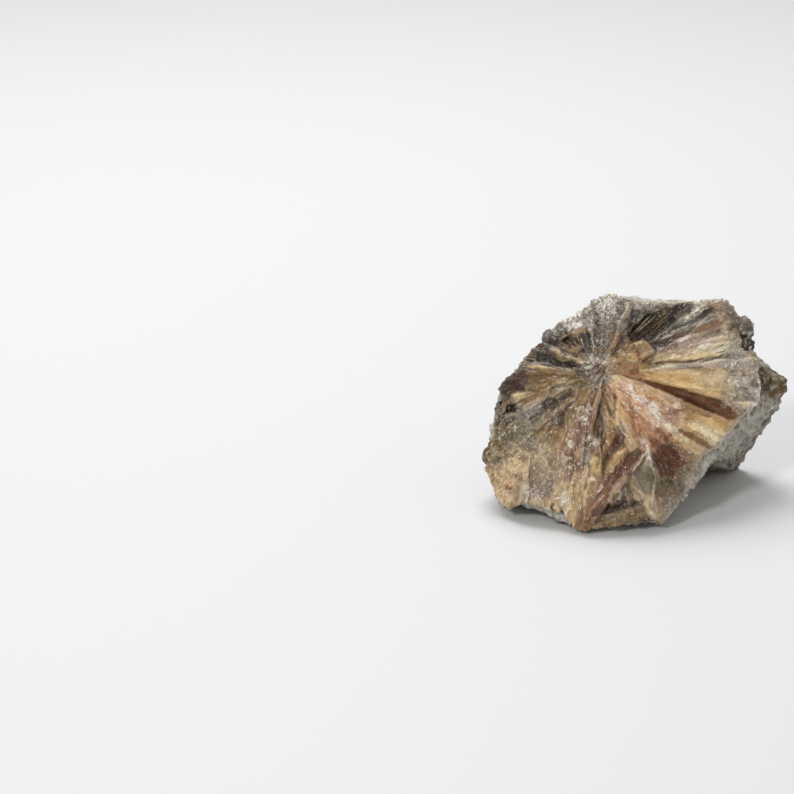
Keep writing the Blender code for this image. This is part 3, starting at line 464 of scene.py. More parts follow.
# Washes of colour over the face: middle as (angle, radius), half length along the radius, half
# width, tone, strength.
# The white washes are partly white frost and partly painted glints.
WASHES = [
    ((120, 1.8), 1.6, 1.8, "white", 0.5), ((60, 2.8), 1.3, 1.2, "haze", 0.6),
    ((180, 1.2), 0.9, 0.7, "umber", 0.7), ((250, 2.2), 1.4, 1.6, "haze", 0.35),
    ((135, 3.8), 0.9, 1.4, "beige", 0.6), ((330, 3.4), 1.2, 1.4, "beige", 0.4),
    ((37, 8.8), 0.7, 1, "amber", 0.5), ((48, 5.4), 1.1, 0.8, "umber", 0.7),
    ((55, 8.6), 1.2, 0.9, "umber", 0.55), ((12, 9.6), 1.8, 0.8, "brown", 0.35),
    ((74, 7.6), 2, 0.8, "beige", 0.4), ((84, 7.5), 3.2, 1.6, "umber", 0.5),
    ((96, 10.8), 1.4, 1.2, "lilac", 0.5), ((100, 9.6), 1.6, 1, "lilac", 0.4),
    ((44, 13), 3.4, 1.6, "black", 0.6), ((44, 15.6), 1.6, 0.8, "brown", 0.6),
    ((46, 18.8), 1.2, 1.4, "brown", 0.55), ((36, 25.5), 3.5, 0.7, "lilac", 0.7),
    ((30, 29), 1.5, 1, "white", 0.5), ((24.5, 27.5), 1.4, 1.2, "beige", 0.5),
    ((20, 15), 2.6, 1, "brown", 0.4), ((17, 20.5), 4.4, 1.4, "lilac", 0.5),
    ((18.5, 26.8), 0.9, 0.9, "ivory", 0.85), ((15.5, 24), 2.4, 1, "lilac", 0.4),
    ((9.4, 21), 5, 0.9, "ivory", 0.6), ((13, 16), 3, 1, "beige", 0.4),
    ((11.5, 30.2), 0.8, 1.2, "amber", 0.5), ((6, 31.2), 0.8, 1.6, "beige", 0.6),
    ((0.2, 19), 8, 0.5, "cream", 0.5), ((0, 29.4), 1.8, 0.7, "honey", 0.5),
    ((355, 15), 6.5, 1.5, "gold", 0.5), ((351.4, 26.2), 1.2, 0.8, "cream", 0.5),
    ((353, 29.6), 0.9, 0.7, "umber", 0.6), ((355.5, 31.4), 1.3, 0.9, "plum", 0.75),
    ((351, 31.2), 1.2, 1, "mauve", 0.6), ((358.5, 30.4), 1.2, 0.7, "beige", 0.5),
    ((348, 29.6), 1.2, 0.9, "cream", 0.6), ((345.5, 30.6), 0.8, 0.8, "stone", 0.6),
    ((343, 30.6), 0.7, 0.7, "plum", 0.7), ((352, 6), 2, 0.4, "brown", 0.6),
    ((326, 10), 2.6, 0.9, "white", 0.6), ((335, 15.6), 1.4, 0.6, "white", 0.75),
    ((322, 12), 2.4, 1.3, "haze", 0.6), ((317, 14.4), 1.6, 1.4, "haze", 0.5),
    ((334.6, 17.6), 2.6, 0.8, "russet", 0.4), ((322.5, 16.6), 2.6, 0.7, "white", 0.6),
    ((333, 21), 3.2, 0.9, "honey", 0.4), ((334.6, 26), 1.6, 0.9, "pale_gold", 0.6),
    ((326, 20.4), 1.6, 0.5, "peach", 0.6), ((300.5, 24.4), 1.8, 1, "olive", 0.7),
    ((311, 27.6), 0.8, 1.6, "haze", 0.5), ((299.6, 28.2), 1, 1.2, "haze", 0.5),
    ((310, 14), 1.6, 1, "peach", 0.5), ((296.5, 9), 2.4, 0.8, "cream", 0.7),
    ((297, 11.6), 0.9, 1, "white", 0.6), ((281, 12.6), 1.5, 1.3, "amber", 0.7),
    ((283, 7), 2.4, 0.7, "honey", 0.55), ((277, 9), 2.6, 0.6, "lilac", 0.35),
    ((272, 12), 3.8, 0.45, "umber", 0.8), ((270, 7), 3, 0.5, "umber", 0.6),
    ((297.6, 19), 1, 0.9, "beige", 0.7), ((295.6, 22.6), 1.8, 1.5, "olive", 0.55),
    ((292, 24.4), 1.2, 1.2, "grey", 0.4), ((285.4, 22.4), 1.8, 0.8, "olive", 0.7),
    ((286, 20.6), 0.5, 0.5, "black", 0.5), ((278.6, 24), 1.4, 0.8, "haze", 0.7),
    ((281, 26), 0.9, 4, "umber", 0.75), ((275, 27), 0.8, 2, "plum", 0.5),
    ((291, 30.6), 0.9, 0.8, "rose", 0.4), ((254, 7.6), 1, 0.5, "lilac", 0.6),
    ((262, 12.8), 0.4, 1.2, "white", 0.7), ((256, 14.2), 0.8, 1.4, "garnet", 0.7),
    ((264.6, 17), 1.3, 1.3, "lilac", 0.75), ((257.6, 19.6), 2.4, 1, "russet", 0.5),
    ((255, 16.6), 1.2, 1, "russet", 0.5), ((268.6, 18.6), 1.7, 0.7, "cream", 0.7),
    ((266, 20.6), 0.6, 0.5, "white", 0.8), ((247.6, 28.8), 1, 1, "haze", 0.7),
    ((243, 27.8), 1.4, 1.6, "beige", 0.5), ((239, 26.8), 1, 0.9, "white", 0.7),
    ((228, 23), 3.4, 2.4, "cream", 0.55), ((226, 27.4), 2, 2, "beige", 0.5),
    ((229.6, 22.2), 0.8, 0.8, "brown", 0.7), ((233.6, 25.4), 1.4, 0.8, "brown", 0.35),
    ((221.5, 28), 1.2, 1, "rose", 0.4), ((222, 25.6), 0.5, 0.9, "umber", 0.6),
    ((233, 27.2), 0.7, 1.4, "gold", 0.4), ((221.4, 23.4), 1, 0.9, "brown", 0.5),
    ((228.6, 14.6), 1.8, 1.3, "honey", 0.5), ((226.5, 16.6), 0.9, 0.8, "gold", 0.4),
    ((213, 16.4), 2.6, 1.6, "slate", 0.5), ((217, 21.4), 1.8, 0.7, "umber", 0.5),
    ((183, 12.6), 1, 0.8, "amber", 0.6), ((203, 16.6), 1.2, 0.3, "cream", 0.6),
    ((199.6, 17), 1, 0.25, "cream", 0.5), ((175.6, 12.6), 2.4, 0.3, "haze", 0.6),
    ((178, 7), 2.4, 0.7, "straw", 0.5), ((190, 6.6), 2.2, 1, "beige", 0.4),
    ((160.6, 13.4), 0.9, 0.6, "umber", 0.7), ((170, 14.6), 0.8, 1.4, "haze", 0.6),
    ((144, 7.6), 1.6, 0.6, "beige", 0.4), ((130, 11.2), 1.2, 1.4, "grey", 0.5),
]

# Patches of the face that keep one tone between clear outlines: tone, strength, softness of the
# edge, how far it stands up, and corners as (angle, radius).
# The white patches are partly white frost and partly painted glints.
PATCHES = [
    ("maroon", 0.85, 0.25, -0.5, [
        (300, 0.7), (350, 0.9), (30, 1.2), (60, 1.7), (85, 1.5), (110, 1.1), (150, 0.9), (200, 0.6),
        (250, 0.6),
    ]),
    ("haze", 0.75, 0.4, 0.1, [
        (80, 1.8), (120, 1.4), (170, 1.2), (205, 1.6), (190, 3.2), (150, 3.8), (110, 3.6),
        (80, 3.4),
    ]),
    ("stone", 0.5, 0.4, 0.1, [(290, 1.4), (330, 1.6), (355, 1.8), (355, 3), (330, 3), (295, 2.6)]),
    ("amber", 0.5, 0.5, 0, [(283, 4.2), (300, 3.6), (318, 4.6), (311, 6.2), (285, 7)]),
    ("plum", 0.7, 0.25, -0.15, [
        (288, 7.8), (296, 6.2), (304, 5.2), (305, 6.2), (297, 7.8), (289, 9.4),
    ]),
    ("cream", 0.6, 0.3, 0.1, [
        (285, 10.2), (293, 8.6), (303, 6.4), (314, 5.2), (314, 6.2), (303, 7.6), (293, 9.8),
        (285, 11.4),
    ]),
    ("garnet", 0.7, 0.2, -0.1, [
        (279, 14), (285, 12.4), (292, 11.8), (293, 12.6), (288, 14.8), (281, 15.8),
    ]),
    ("honey", 0.5, 0.4, 0.05, [
        (285, 15.6), (293, 13.4), (299, 12.4), (300, 14.6), (296, 16.6), (288, 17),
    ]),
    ("russet", 0.75, 0.4, -0.05, [
        (299.5, 14.4), (302, 11), (309, 8.8), (317, 7), (319, 8), (311, 11.2), (305, 14.6),
        (302, 15.6),
    ]),
    ("peach", 0.5, 0.5, 0, [(311, 11), (318, 8.6), (324, 9), (320, 14), (312, 15)]),
    ("haze", 0.7, 0.3, 0.1, [(308, 11), (312, 10), (317.5, 9.6), (318, 10.6), (312, 11.2)]),
    ("white", 0.75, 0.25, 0.1, [
        (321, 13.6), (325, 11.8), (333, 12), (333, 13.2), (327, 14), (323, 14.8),
    ]),
    ("white", 0.7, 0.25, 0.1, [(325, 7), (332, 5.8), (342, 5.8), (340, 7.2), (331, 8)]),
    ("haze", 0.6, 0.3, 0.1, [(325, 10.6), (331, 9), (335, 9.4), (331, 11)]),
    ("amber", 0.6, 0.4, -0.1, [
        (331, 11.2), (336, 8.8), (344, 7.6), (346.6, 9), (342, 12), (334, 13.4),
    ]),
    ("rose", 0.5, 0.4, 0.05, [(336, 13), (342, 12.6), (341, 16), (337, 16.6), (334, 15)]),
    ("russet", 0.45, 0.3, -0.1, [(327.6, 15), (334, 15.4), (336, 17.4), (331, 17.6)]),
    ("white", 0.7, 0.2, 0.15, [(334, 16), (337.4, 16), (338.4, 17.4), (335.4, 17.6)]),
    ("umber", 0.25, 0.3, -0.1, [(336.4, 18), (338.6, 17.4), (340, 20), (339, 24), (337.4, 23)]),
    ("gold", 0.45, 0.5, 0.05, [
        (332, 18), (336.4, 18.4), (338, 24), (337.6, 27), (334.6, 27.6), (333, 22),
    ]),
    ("ivory", 0.7, 0.35, 0.1, [
        (328, 21), (331, 20.6), (333.6, 24), (335, 27.6), (330, 28), (327.6, 25),
    ]),
    ("pale_gold", 0.5, 0.4, 0, [(326, 17.6), (331, 18), (331, 21), (327, 21.6), (325, 19)]),
    ("amber", 0.75, 0.25, -0.2, [
        (322.4, 19.4), (324.6, 19), (326.8, 22), (327.6, 25.8), (325, 26.6), (323.6, 23),
    ]),
    ("ivory", 0.7, 0.3, 0.15, [(319.6, 16.6), (322.6, 17), (323, 20), (321, 22.6), (319.6, 20)]),
    ("beige", 0.5, 0.4, 0, [(318, 22), (321, 22.4), (324, 25.6), (321, 26.6), (317, 25.6)]),
    ("russet", 0.85, 0.35, -0.1, [
        (303, 18), (307, 16.2), (312, 15.6), (317.4, 15.8), (319.4, 18), (318, 20.4), (309, 20),
    ]),
    ("garnet", 0.85, 0.5, -0.25, [
        (298.6, 20.6), (302, 19), (310, 18.8), (315.6, 20), (314, 23.4), (306, 24.8), (300.6, 23.6),
    ]),
    ("brown", 0.6, 0.4, -0.1, [(314, 20), (319, 20), (318.4, 23), (314, 25), (311, 24)]),
    ("olive", 0.5, 0.4, 0, [
        (305, 24.8), (312, 24.8), (319, 23.6), (319, 25.4), (312, 26.6), (305, 26.4),
    ]),
    ("white", 0.55, 0.12, 0.3, [
        (298, 19.6), (298, 18.4), (302, 17), (305.4, 16.4), (304.6, 17.6), (300.6, 19),
    ]),
    ("olive", 0.55, 0.4, -0.1, [
        (293.4, 24.4), (298.4, 22), (300.6, 24.6), (304, 26.4), (301, 27.4), (294, 27),
    ]),
    ("black", 0.5, 0.25, -0.2, [(300.6, 24.4), (303.6, 24.6), (304.4, 26), (302, 26)]),
    ("haze", 0.7, 0.3, 0.2, [
        (288.6, 26.4), (291.6, 25.4), (293.4, 28), (291.6, 30.6), (288.8, 29),
    ]),
    ("umber", 0.4, 0.25, -0.15, [(283, 26), (288, 25.8), (288.8, 28.4), (284, 28.4)]),
    ("russet", 0.75, 0.3, 0, [
        (361, 5.2), (353, 6.8), (346.4, 10.2), (343, 14.2), (340.4, 18.2), (339.2, 24), (338.8, 28),
        (345.6, 29), (346.6, 25), (347.2, 20), (348.8, 16), (351.4, 13), (355, 10.2), (361, 8),
    ]),
    ("brown", 0.6, 0.5, -0.2, [
        (347, 12), (343, 15), (340.2, 19), (339.8, 24), (342, 24.6), (345.4, 20), (347, 15),
    ]),
    ("amber", 0.5, 0.4, 0, [(341, 24.6), (345.6, 24.6), (345.4, 28.8), (340.6, 28.6)]),
    ("beige", 0.6, 0.25, 0.2, [
        (345.4, 25.2), (349, 24.4), (350, 26.6), (347.4, 28.8), (345.6, 28),
    ]),
    ("pale_gold", 0.5, 0.4, 0.1, [
        (348.4, 18), (351.6, 14), (354, 13), (352, 20), (350, 24.6), (348, 24),
    ]),
    ("haze", 0.6, 0.4, 0.1, [
        (353.6, 20), (358, 17.6), (360, 20), (359.6, 26), (355.6, 28.4), (353, 26),
    ]),
    ("white", 0.7, 0.25, 0.15, [(353.6, 26), (357, 25.4), (359, 27.4), (356.4, 28.8), (353.6, 28)]),
    ("haze", 0.7, 0.2, 0.15, [(0.4, 10), (3, 9.4), (4.4, 10.4), (2, 11.6)]),
    ("brown", 0.65, 0.25, -0.25, [(7, 11.8), (10.4, 11.4), (8.4, 15.6), (6.8, 20), (5.4, 19)]),
    ("slate", 0.75, 0.3, -0.1, [(2, 16), (5, 15.6), (6, 19.4), (3, 20.6)]),
    ("lilac", 0.5, 0.5, 0.05, [(1.6, 21), (5.4, 20.6), (7.4, 25), (9.6, 28), (7, 30), (1.6, 28)]),
    ("brown", 0.7, 0.12, -0.3, [
        (4.6, 20.6), (5.4, 20.4), (7.4, 24), (9.6, 26.6), (9, 27), (6.4, 24.2),
    ]),
    ("yellow", 0.45, 0.4, 0.05, [(7.4, 18.4), (10, 18), (10.4, 22), (8, 24)]),
    ("white", 0.8, 0.15, 0.2, [(9.2, 15.8), (10.6, 14.8), (12.6, 15.2), (11.6, 16.6), (9.8, 16.8)]),
    ("white", 0.85, 0.15, 0.2, [(12.4, 21.2), (13.8, 20.8), (14.6, 22), (13.2, 23)]),
    ("ivory", 0.7, 0.2, 0.15, [(10, 19.6), (12.6, 18.6), (13, 19.8), (11, 20.8)]),
    ("ivory", 0.2, 0.3, 0.1, [(8, 23), (11, 22.4), (11.6, 26), (9, 27)]),
    ("umber", 0.5, 0.15, -0.15, [(11.6, 23.4), (12.2, 23.4), (12.8, 26), (12, 26)]),
    ("rose", 0.35, 0.5, 0, [(13, 17), (20.6, 17), (21, 26.6), (13.6, 26.8)]),
    ("lilac", 0.5, 0.4, 0.1, [(17, 17.6), (20.6, 17), (20.8, 21.4), (17.4, 22)]),
    ("ivory", 0.85, 0.15, 0.25, [(15.4, 26.8), (18, 26.8), (21.4, 27.2), (21, 28.4), (17, 28)]),
    ("amber", 0.6, 0.3, -0.05, [(21, 20), (22.4, 19), (23, 24), (22.6, 28.4), (21.2, 27)]),
    ("grey", 0.4, 0.5, 0, [(23, 18.6), (30, 17.6), (28.6, 21), (27.6, 27), (23.4, 27.4)]),
    ("umber", 0.65, 0.35, -0.15, [(20.6, 12), (28, 11.8), (25.4, 17), (24.4, 18.8), (21.6, 18)]),
    ("mauve", 0.35, 0.3, 0.1, [(24, 14.4), (28, 13), (30.4, 14), (30, 17), (26, 17.4)]),
    ("white", 0.7, 0.15, 0.3, [
        (28.4, 21.8), (30, 20.2), (31.6, 21.4), (31.4, 24), (30, 25), (28.6, 23.6),
    ]),
    ("black", 0.8, 0.25, 0, [
        (27.6, 11.6), (36.6, 11.2), (36.8, 18), (33, 19.4), (30.6, 17), (31, 14.6),
    ]),
    ("mauve", 0.6, 0.15, 0.1, [(33.6, 12), (34.6, 11.6), (37.4, 17.6), (36.4, 18)]),
    ("olive", 0.6, 0.3, 0, [(37.4, 12), (42, 11.4), (42.4, 16), (39, 18.4), (37.6, 17)]),
    ("black", 0.7, 0.3, -0.1, [(46.6, 10.8), (62, 11), (60, 14), (54, 15.4), (47, 16.6)]),
    ("black", 0.7, 0.25, -0.2, [(35.6, 20.6), (39, 19.4), (40, 20.6), (37, 23.4), (35, 23.6)]),
    ("slate", 0.55, 0.25, 0.1, [(31.4, 19.4), (35.6, 19), (34.6, 23.6), (32.4, 24.6)]),
    ("honey", 0.6, 0.3, 0.1, [(14, 5), (24, 4.2), (40, 4.2), (34, 5.6), (18, 6)]),
    ("cream", 0.6, 0.2, 0.2, [(28, 6.2), (34, 5.6), (46, 5.4), (46, 6), (34, 6.6)]),
    ("gold", 0.6, 0.3, 0.2, [(14, 7), (24, 6.2), (32, 6.8), (26, 8), (15, 8)]),
    ("russet", 0.7, 0.15, -0.2, [(15, 8.2), (22, 8.2), (30, 8.8), (24, 9.2), (16, 8.8)]),
    ("straw", 0.5, 0.3, 0.15, [(14, 9.4), (24, 9.2), (34, 9), (38, 9.8), (36, 11.4), (20, 11.6)]),
    ("ivory", 0.5, 0.2, 0.1, [(32, 10), (36, 9.6), (39, 10.6), (36, 11.4)]),
    ("russet", 0.6, 0.35, -0.1, [(354, 6.2), (363, 6), (371, 7.2), (369, 8.4), (358, 8)]),
    ("amber", 0.65, 0.25, -0.05, [(55, 7.4), (62, 6.2), (70, 6.8), (74, 8), (66, 8.8), (58, 8.2)]),
    ("mauve", 0.5, 0.4, 0, [(61, 11.6), (72, 11.6), (72, 15), (64, 15.6), (60, 14)]),
    ("lilac", 0.65, 0.35, 0.1, [(73, 10), (84, 9.4), (94, 10.6), (95, 14.6), (84, 15.2), (73, 16)]),
    ("white", 0.75, 0.3, 0.15, [(76, 12.4), (90, 12), (90, 14.4), (78, 15)]),
    ("umber", 0.7, 0.3, -0.15, [(86, 8.6), (93, 9.6), (92.6, 12), (88, 11.6)]),
    ("plum", 0.55, 0.4, -0.1, [(84, 6), (97, 5.6), (98, 8), (86, 9)]),
    ("umber", 0.75, 0.3, -0.3, [(98, 5.4), (112, 4.4), (126, 4.6), (128, 7), (118, 8), (100, 7.8)]),
    ("straw", 0.6, 0.2, 0, [(104, 8.4), (116, 8), (126, 8.4), (126, 9.4), (104, 9.4)]),
    ("olive", 0.5, 0.4, 0, [(74, 3.4), (110, 3.2), (108, 4.6), (76, 5)]),
    ("white", 0.85, 0.3, 0.1, [(104, 9.6), (126, 9.8), (126, 12.4), (104, 12)]),
    ("slate", 0.6, 0.2, -0.1, [(124, 10), (128, 10), (128, 12), (124, 12)]),
    ("straw", 0.65, 0.15, 0.1, [(121, 5.9), (130, 5.3), (141, 5.9), (139, 6.7), (130, 6.3)]),
    ("brown", 0.75, 0.25, -0.3, [(122, 6.4), (134, 6.6), (142, 7), (142, 9), (130, 9.2), (122, 8)]),
    ("olive", 0.5, 0.3, 0.1, [(142, 4.6), (150, 4.4), (150, 6), (144, 7)]),
    ("tawny", 0.7, 0.15, 0.15, [(146, 8.6), (152, 8), (158, 8.4), (156, 9.4), (148, 9.4)]),
    ("umber", 0.8, 0.3, -0.1, [(134, 9.8), (150, 9.6), (149, 11.4), (135, 11.6)]),
    ("lilac", 0.4, 0.2, 0.1, [(150, 10.6), (156, 10.4), (158, 12.4), (151, 12.2)]),
    ("umber", 0.75, 0.3, -0.2, [
        (156, 4.8), (172, 4.6), (173, 10), (174, 13), (160, 12.6), (157, 9.6),
    ]),
    ("black", 0.6, 0.35, -0.2, [(160, 7), (169, 7.4), (171, 12), (162, 12)]),
    ("tawny", 0.8, 0.25, 0.2, [
        (173, 9.2), (177, 8.2), (182, 8.6), (181, 11), (177.4, 13), (174, 11.6),
    ]),
    ("grey", 0.6, 0.15, 0.1, [(172, 12.4), (173.4, 12), (176.6, 14), (176, 14.6)]),
    ("tawny", 0.75, 0.6, 0, [(180, 5), (192, 4.6), (199, 8), (198, 13.6), (186, 13.2), (181, 12)]),
    ("plum", 0.8, 0.5, -0.1, [
        (176, 13.6), (183, 13), (193, 14.4), (192, 18.8), (184, 18.4), (178, 16),
    ]),
    ("beige", 0.75, 0.15, 0.2, [(193, 16), (195.6, 14.8), (200.6, 14.6), (200, 16), (195, 17)]),
    ("straw", 0.6, 0.3, 0.05, [(198, 10), (206, 10.6), (207, 14), (204, 16), (200, 15.4)]),
    ("lilac", 0.75, 0.25, 0.1, [(205.6, 13.4), (209, 12.8), (214, 13), (214, 16), (208, 16.4)]),
    ("black", 0.6, 0.25, -0.15, [
        (199, 17.2), (203, 16.8), (206.6, 17.4), (205, 18.8), (200, 18.8),
    ]),
    ("umber", 0.6, 0.3, -0.1, [(192, 17), (199, 17), (198, 19.4), (191, 19.6)]),
    ("plum", 0.7, 0.25, -0.2, [(207, 10.4), (216, 9.4), (221, 10.8), (218, 12.6), (208, 12.6)]),
    ("umber", 0.6, 0.3, -0.1, [(214, 12.8), (219, 12.8), (219.4, 16.4), (214.6, 16.4)]),
    ("olive", 0.5, 0.4, 0, [(219, 12), (226, 13), (226, 17), (220, 17)]),
    ("haze", 0.6, 0.15, 0.15, [(218.6, 11.2), (221, 10.4), (224.6, 11), (222, 11.8)]),
    ("haze", 0.5, 0.3, 0.05, [(190, 6.6), (196, 5.4), (205, 6.4), (203, 8.2), (194, 8)]),
    ("umber", 0.5, 0.4, -0.1, [(200, 19), (210, 18), (212, 21), (206, 23), (200.6, 22)]),
    ("white", 0.8, 0.12, 0.2, [(213.4, 21.4), (214.8, 21.2), (215.2, 23.2), (213.6, 23.4)]),
    ("haze", 0.7, 0.12, 0.15, [(213.8, 18.8), (215.2, 18.6), (215.2, 20), (214, 20)]),
    ("umber", 0.65, 0.35, -0.15, [(223, 10), (233, 10.6), (240, 13.4), (235, 14.6), (226, 13.4)]),
    ("ivory", 0.6, 0.15, 0.2, [(227.6, 12.2), (229.6, 12), (232, 13), (230, 13.4)]),
    ("lilac", 0.85, 0.2, 0.25, [
        (240, 7.8), (247, 7.2), (255, 7.8), (259.4, 9.2), (260.4, 10.6), (255, 11), (247, 10.4),
        (242, 9),
    ]),
    ("white", 0.95, 0.15, 0.2, [(247, 9.4), (252.4, 8.8), (254.8, 9.6), (252, 10.2)]),
    ("honey", 0.5, 0.4, 0, [(232, 13.6), (240, 12.8), (247, 13.6), (246, 15.8), (234, 16)]),
    ("white", 0.85, 0.15, 0.2, [(247, 14.6), (249, 14), (252.4, 15), (251, 16), (248, 15.6)]),
    ("plum", 0.6, 0.2, -0.15, [(246, 16.4), (252, 16.2), (253, 17.2), (248, 17.4)]),
    ("lilac", 0.6, 0.25, 0.1, [(242.6, 17), (246.6, 16.8), (251, 18), (249, 19.4), (244, 18.8)]),
    ("olive", 0.5, 0.35, 0, [(233, 17.4), (240, 17.4), (247, 20), (246, 21.4), (238, 19.6)]),
    ("mauve", 0.5, 0.5, 0, [(232, 20), (240, 20), (248, 23), (249, 26.6), (236, 26)]),
    ("plum", 0.5, 0.35, -0.1, [(249, 18), (256, 17.6), (257, 21.6), (252, 22.4)]),
    ("white", 0.75, 0.15, 0.2, [(252, 19.2), (254, 18.8), (255, 19.6), (253, 20)]),
    ("white", 0.7, 0.3, 0.15, [
        (251.6, 24.4), (255, 24), (258.4, 27), (256.6, 28.4), (253.4, 26.6),
    ]),
    ("haze", 0.75, 0.15, 0.15, [(256, 13.4), (260, 12.8), (264, 13.2), (262, 14)]),
    ("white", 0.8, 0.15, 0.2, [(264, 13.8), (267, 13.2), (270.4, 13.8), (267, 14.6)]),
    ("slate", 0.5, 0.3, 0.05, [(258, 15), (263, 15), (263, 18), (259, 18)]),
    ("yellow", 0.55, 0.25, 0.15, [
        (264, 17.6), (266, 16.4), (269.6, 16.4), (268, 18.6), (265, 19.4),
    ]),
    ("black", 0.7, 0.12, -0.4, [(249.6, 26.6), (251, 26.8), (252.4, 28.6), (250.6, 28.2)]),
    ("straw", 0.5, 0.5, 0, [(257, 22.6), (263, 22), (262, 27), (260, 31), (257, 29)]),
    ("rosewood", 0.6, 0.5, -0.05, [
        (254, 11.2), (262, 10.8), (266, 8), (267, 11.6), (262, 12.6), (255, 13),
    ]),
    ("umber", 0.7, 0.2, -0.25, [(267.4, 10.4), (269.4, 10.2), (270, 13), (268, 13.2)]),
    ("slate", 0.55, 0.3, 0, [(270, 9), (276, 8.6), (276, 11), (271, 11.6)]),
    ("russet", 0.55, 0.25, -0.05, [(271, 6.6), (279, 6.2), (279, 7.4), (272, 8)]),
    ("gold", 0.45, 0.35, 0.1, [(278, 9), (290, 8.6), (290, 11), (280, 11)]),
    ("garnet", 0.7, 0.25, -0.15, [
        (273, 17.6), (276, 15.4), (284, 13), (290, 12.2), (290, 13.8), (283, 14.8), (276, 17.4),
    ]),
    ("straw", 0.85, 0.12, 0.3, [
        (272.4, 19.8), (275, 17.4), (281, 15.9), (290, 14.8), (290.6, 15.6), (283, 17.4),
        (277, 19.4),
    ]),
    ("rosewood", 0.7, 0.3, 0, [
        (263, 28.4), (268, 24.6), (274, 20.8), (283, 17.8), (297, 16.2), (298, 18), (286, 20),
        (275, 22.6), (268, 26.6), (263.4, 30),
    ]),
    ("beige", 0.65, 0.2, 0.15, [
        (272.4, 24.6), (276, 22.4), (283, 20.2), (285, 20.8), (279, 23.4), (273.6, 25.2),
    ]),
    ("mauve", 0.5, 0.3, -0.1, [(279, 22.4), (285, 21.2), (285, 24.6), (280, 24.8)]),
    ("plum", 0.75, 0.2, -0.2, [(266, 28), (272, 25.6), (281, 24.8), (281.6, 25.8), (273, 27.2)]),
    ("olive", 0.6, 0.3, 0.05, [
        (266, 29), (273, 27.4), (282, 26.6), (288, 28.6), (284, 30), (270, 30),
    ]),
    ("beige", 0.6, 0.3, 0.1, [(229, 30), (233, 29.4), (239, 29.8), (236, 32), (231, 32)]),
    ("russet", 0.6, 0.2, -0.1, [(230, 28.2), (235, 27.8), (236.4, 28.6), (231, 29)]),
]

# Sprinklings of small cleavage flakes, painted bright as glints: middle, half length, half width,
# tone, share of the cells that hold one.
SPARKLES = [
    ((326, 11), 6.5, 3.6, "white", 0.20), ((331, 5.6), 2.4, 1.0, "white", 0.3),
    ((355, 27), 2.4, 1.8, "white", 0.2), ((255, 24.6), 3.2, 1.4, "white", 0.3),
    ((241, 27), 2.4, 2.0, "white", 0.25), ((258, 8.8), 3.0, 1.2, "white", 0.35),
    ((254, 16.6), 4.0, 2.6, "white", 0.14), ((266, 14), 2.0, 2.0, "haze", 0.2),
    ((214, 21.6), 3.0, 2.0, "white", 0.12), ((84, 13), 3.0, 4.0, "white", 0.2),
    ((14, 20), 5.0, 1.4, "white", 0.16), ((228, 26), 4.0, 4.0, "cream", 0.12),
    ((96, 9), 3.0, 1.6, "haze", 0.15), ((0, 0), 5.0, 5.0, "haze", 0.12),
    ((301, 17), 2.0, 1.0, "white", 0.3), ((262, 21), 6.0, 3.0, "white", 0.06),
    ((246, 23), 6.0, 3.0, "haze", 0.07), ((5, 24), 8.0, 3.0, "lilac", 0.06),
    ((345, 29), 3.0, 2.0, "haze", 0.12), ((284, 27), 3.0, 4.0, "beige", 0.06),
    ((310, 20), 5.0, 4.0, "honey", 0.05),
]

# The grid of spokes and rings over the face, and the sectors it is cut into, from angle to angle.
SPOKE_PITCH = 0.2
RINGS = 190
RING_POWER = 0.85
HEART_RADIUS = 0.04
SECTORS = {
    "petals_right": (347, 407), "petals_top": (47, 125), "petals_left": (125, 203),
    "petals_low_left": (203, 275), "petals_low_right": (275, 347),
}
PALE_SIDE = ((286, 298), (350, 342))
# How the rim runs back into the rock.
SKIRT_ROWS = 10
SKIRT_DEPTH = 7.0
SKIRT_SLOPE = 5.4
SKIRT_SLOPE_POWER = 1.3
PALE_SKIRT_INSET = 2.6
SKIRT_CAP = 1.5
SKIRT_LEDGES = 2.4
FIBRE_PER_ROW = 0.8
CALM_DEG = 3.0
CALM_BY = 0.3
RIM_INSET = 0.15
RIM_ROLLS = ((0.35, 0.4), (0.5, 1.5))
ROCK_VOXEL = 0.38
# Where the rock lies under the blades: it faces the front and is this near the dome.
FACING_FRONT = -0.35
NEAR_FACE = 3.4
FREE_UNDER_BLADES = 0.35
TERRACES = 3.2
# How much ledges, terraces, grain, grit and facets move the rock's surface.
ROCK_DEPTHS = (0.5, 0.8, 0.7, 0.3, 0.5)
# Edges that turn by more than this are sharp.
BLADE_SHARP_DEG = 40
ROCK_SHARP_DEG = 60
CRUMB_SHARP_DEG = 10

# The relief of the blades: heights below the dome, slopes of their sides and how gaps are filled.
GROUND = -1.7
SETTLED = 0.62
WALL_SLOPE = 1.9
SHEER_WALL_SLOPE = 4.5
SHEER_BLADES = (
    "yellow_lens", "white_slip", "cream_chip", "lilac_shard", "white_chip", "groove_blade",
)
END_STRETCH = 0.32
FILLER_TOP = 0.1
FILLER_SLOPE = 0.6
FILLER_DROP = 0.2
REACH_OUT = 2.6
VALLEY_WALL = 2.6
# Layers of noise along a blade: depth, size across the grain and size along it.
END_RAGS = ((0.34, 0.42, 9.0), (0.24, 0.16, 4.0))
SIDE_WAVES = ((0.10, 4.0, 1.2), (0.06, 2.0, 0.4))
STRIP_WIDTH = 1.1
MOST_STRIPS = 9
STEP_LENGTH = 4.5
MOST_STEPS = 5
STEP_SOFTNESS = 0.07
LAMINA_DEPTH = 0.05
EDGE_ROUNDING = 0.45
SOFTENING = ((0.25, 0.6), (0.6, 0.3))
STRIATED = {
    "fringe_132": 2.6, "fringe_115": 2.6, "grey_98": 1.6, "spur_85": 1.4, "amber_266": 1.3,
    "straw_250": 1.4,
}
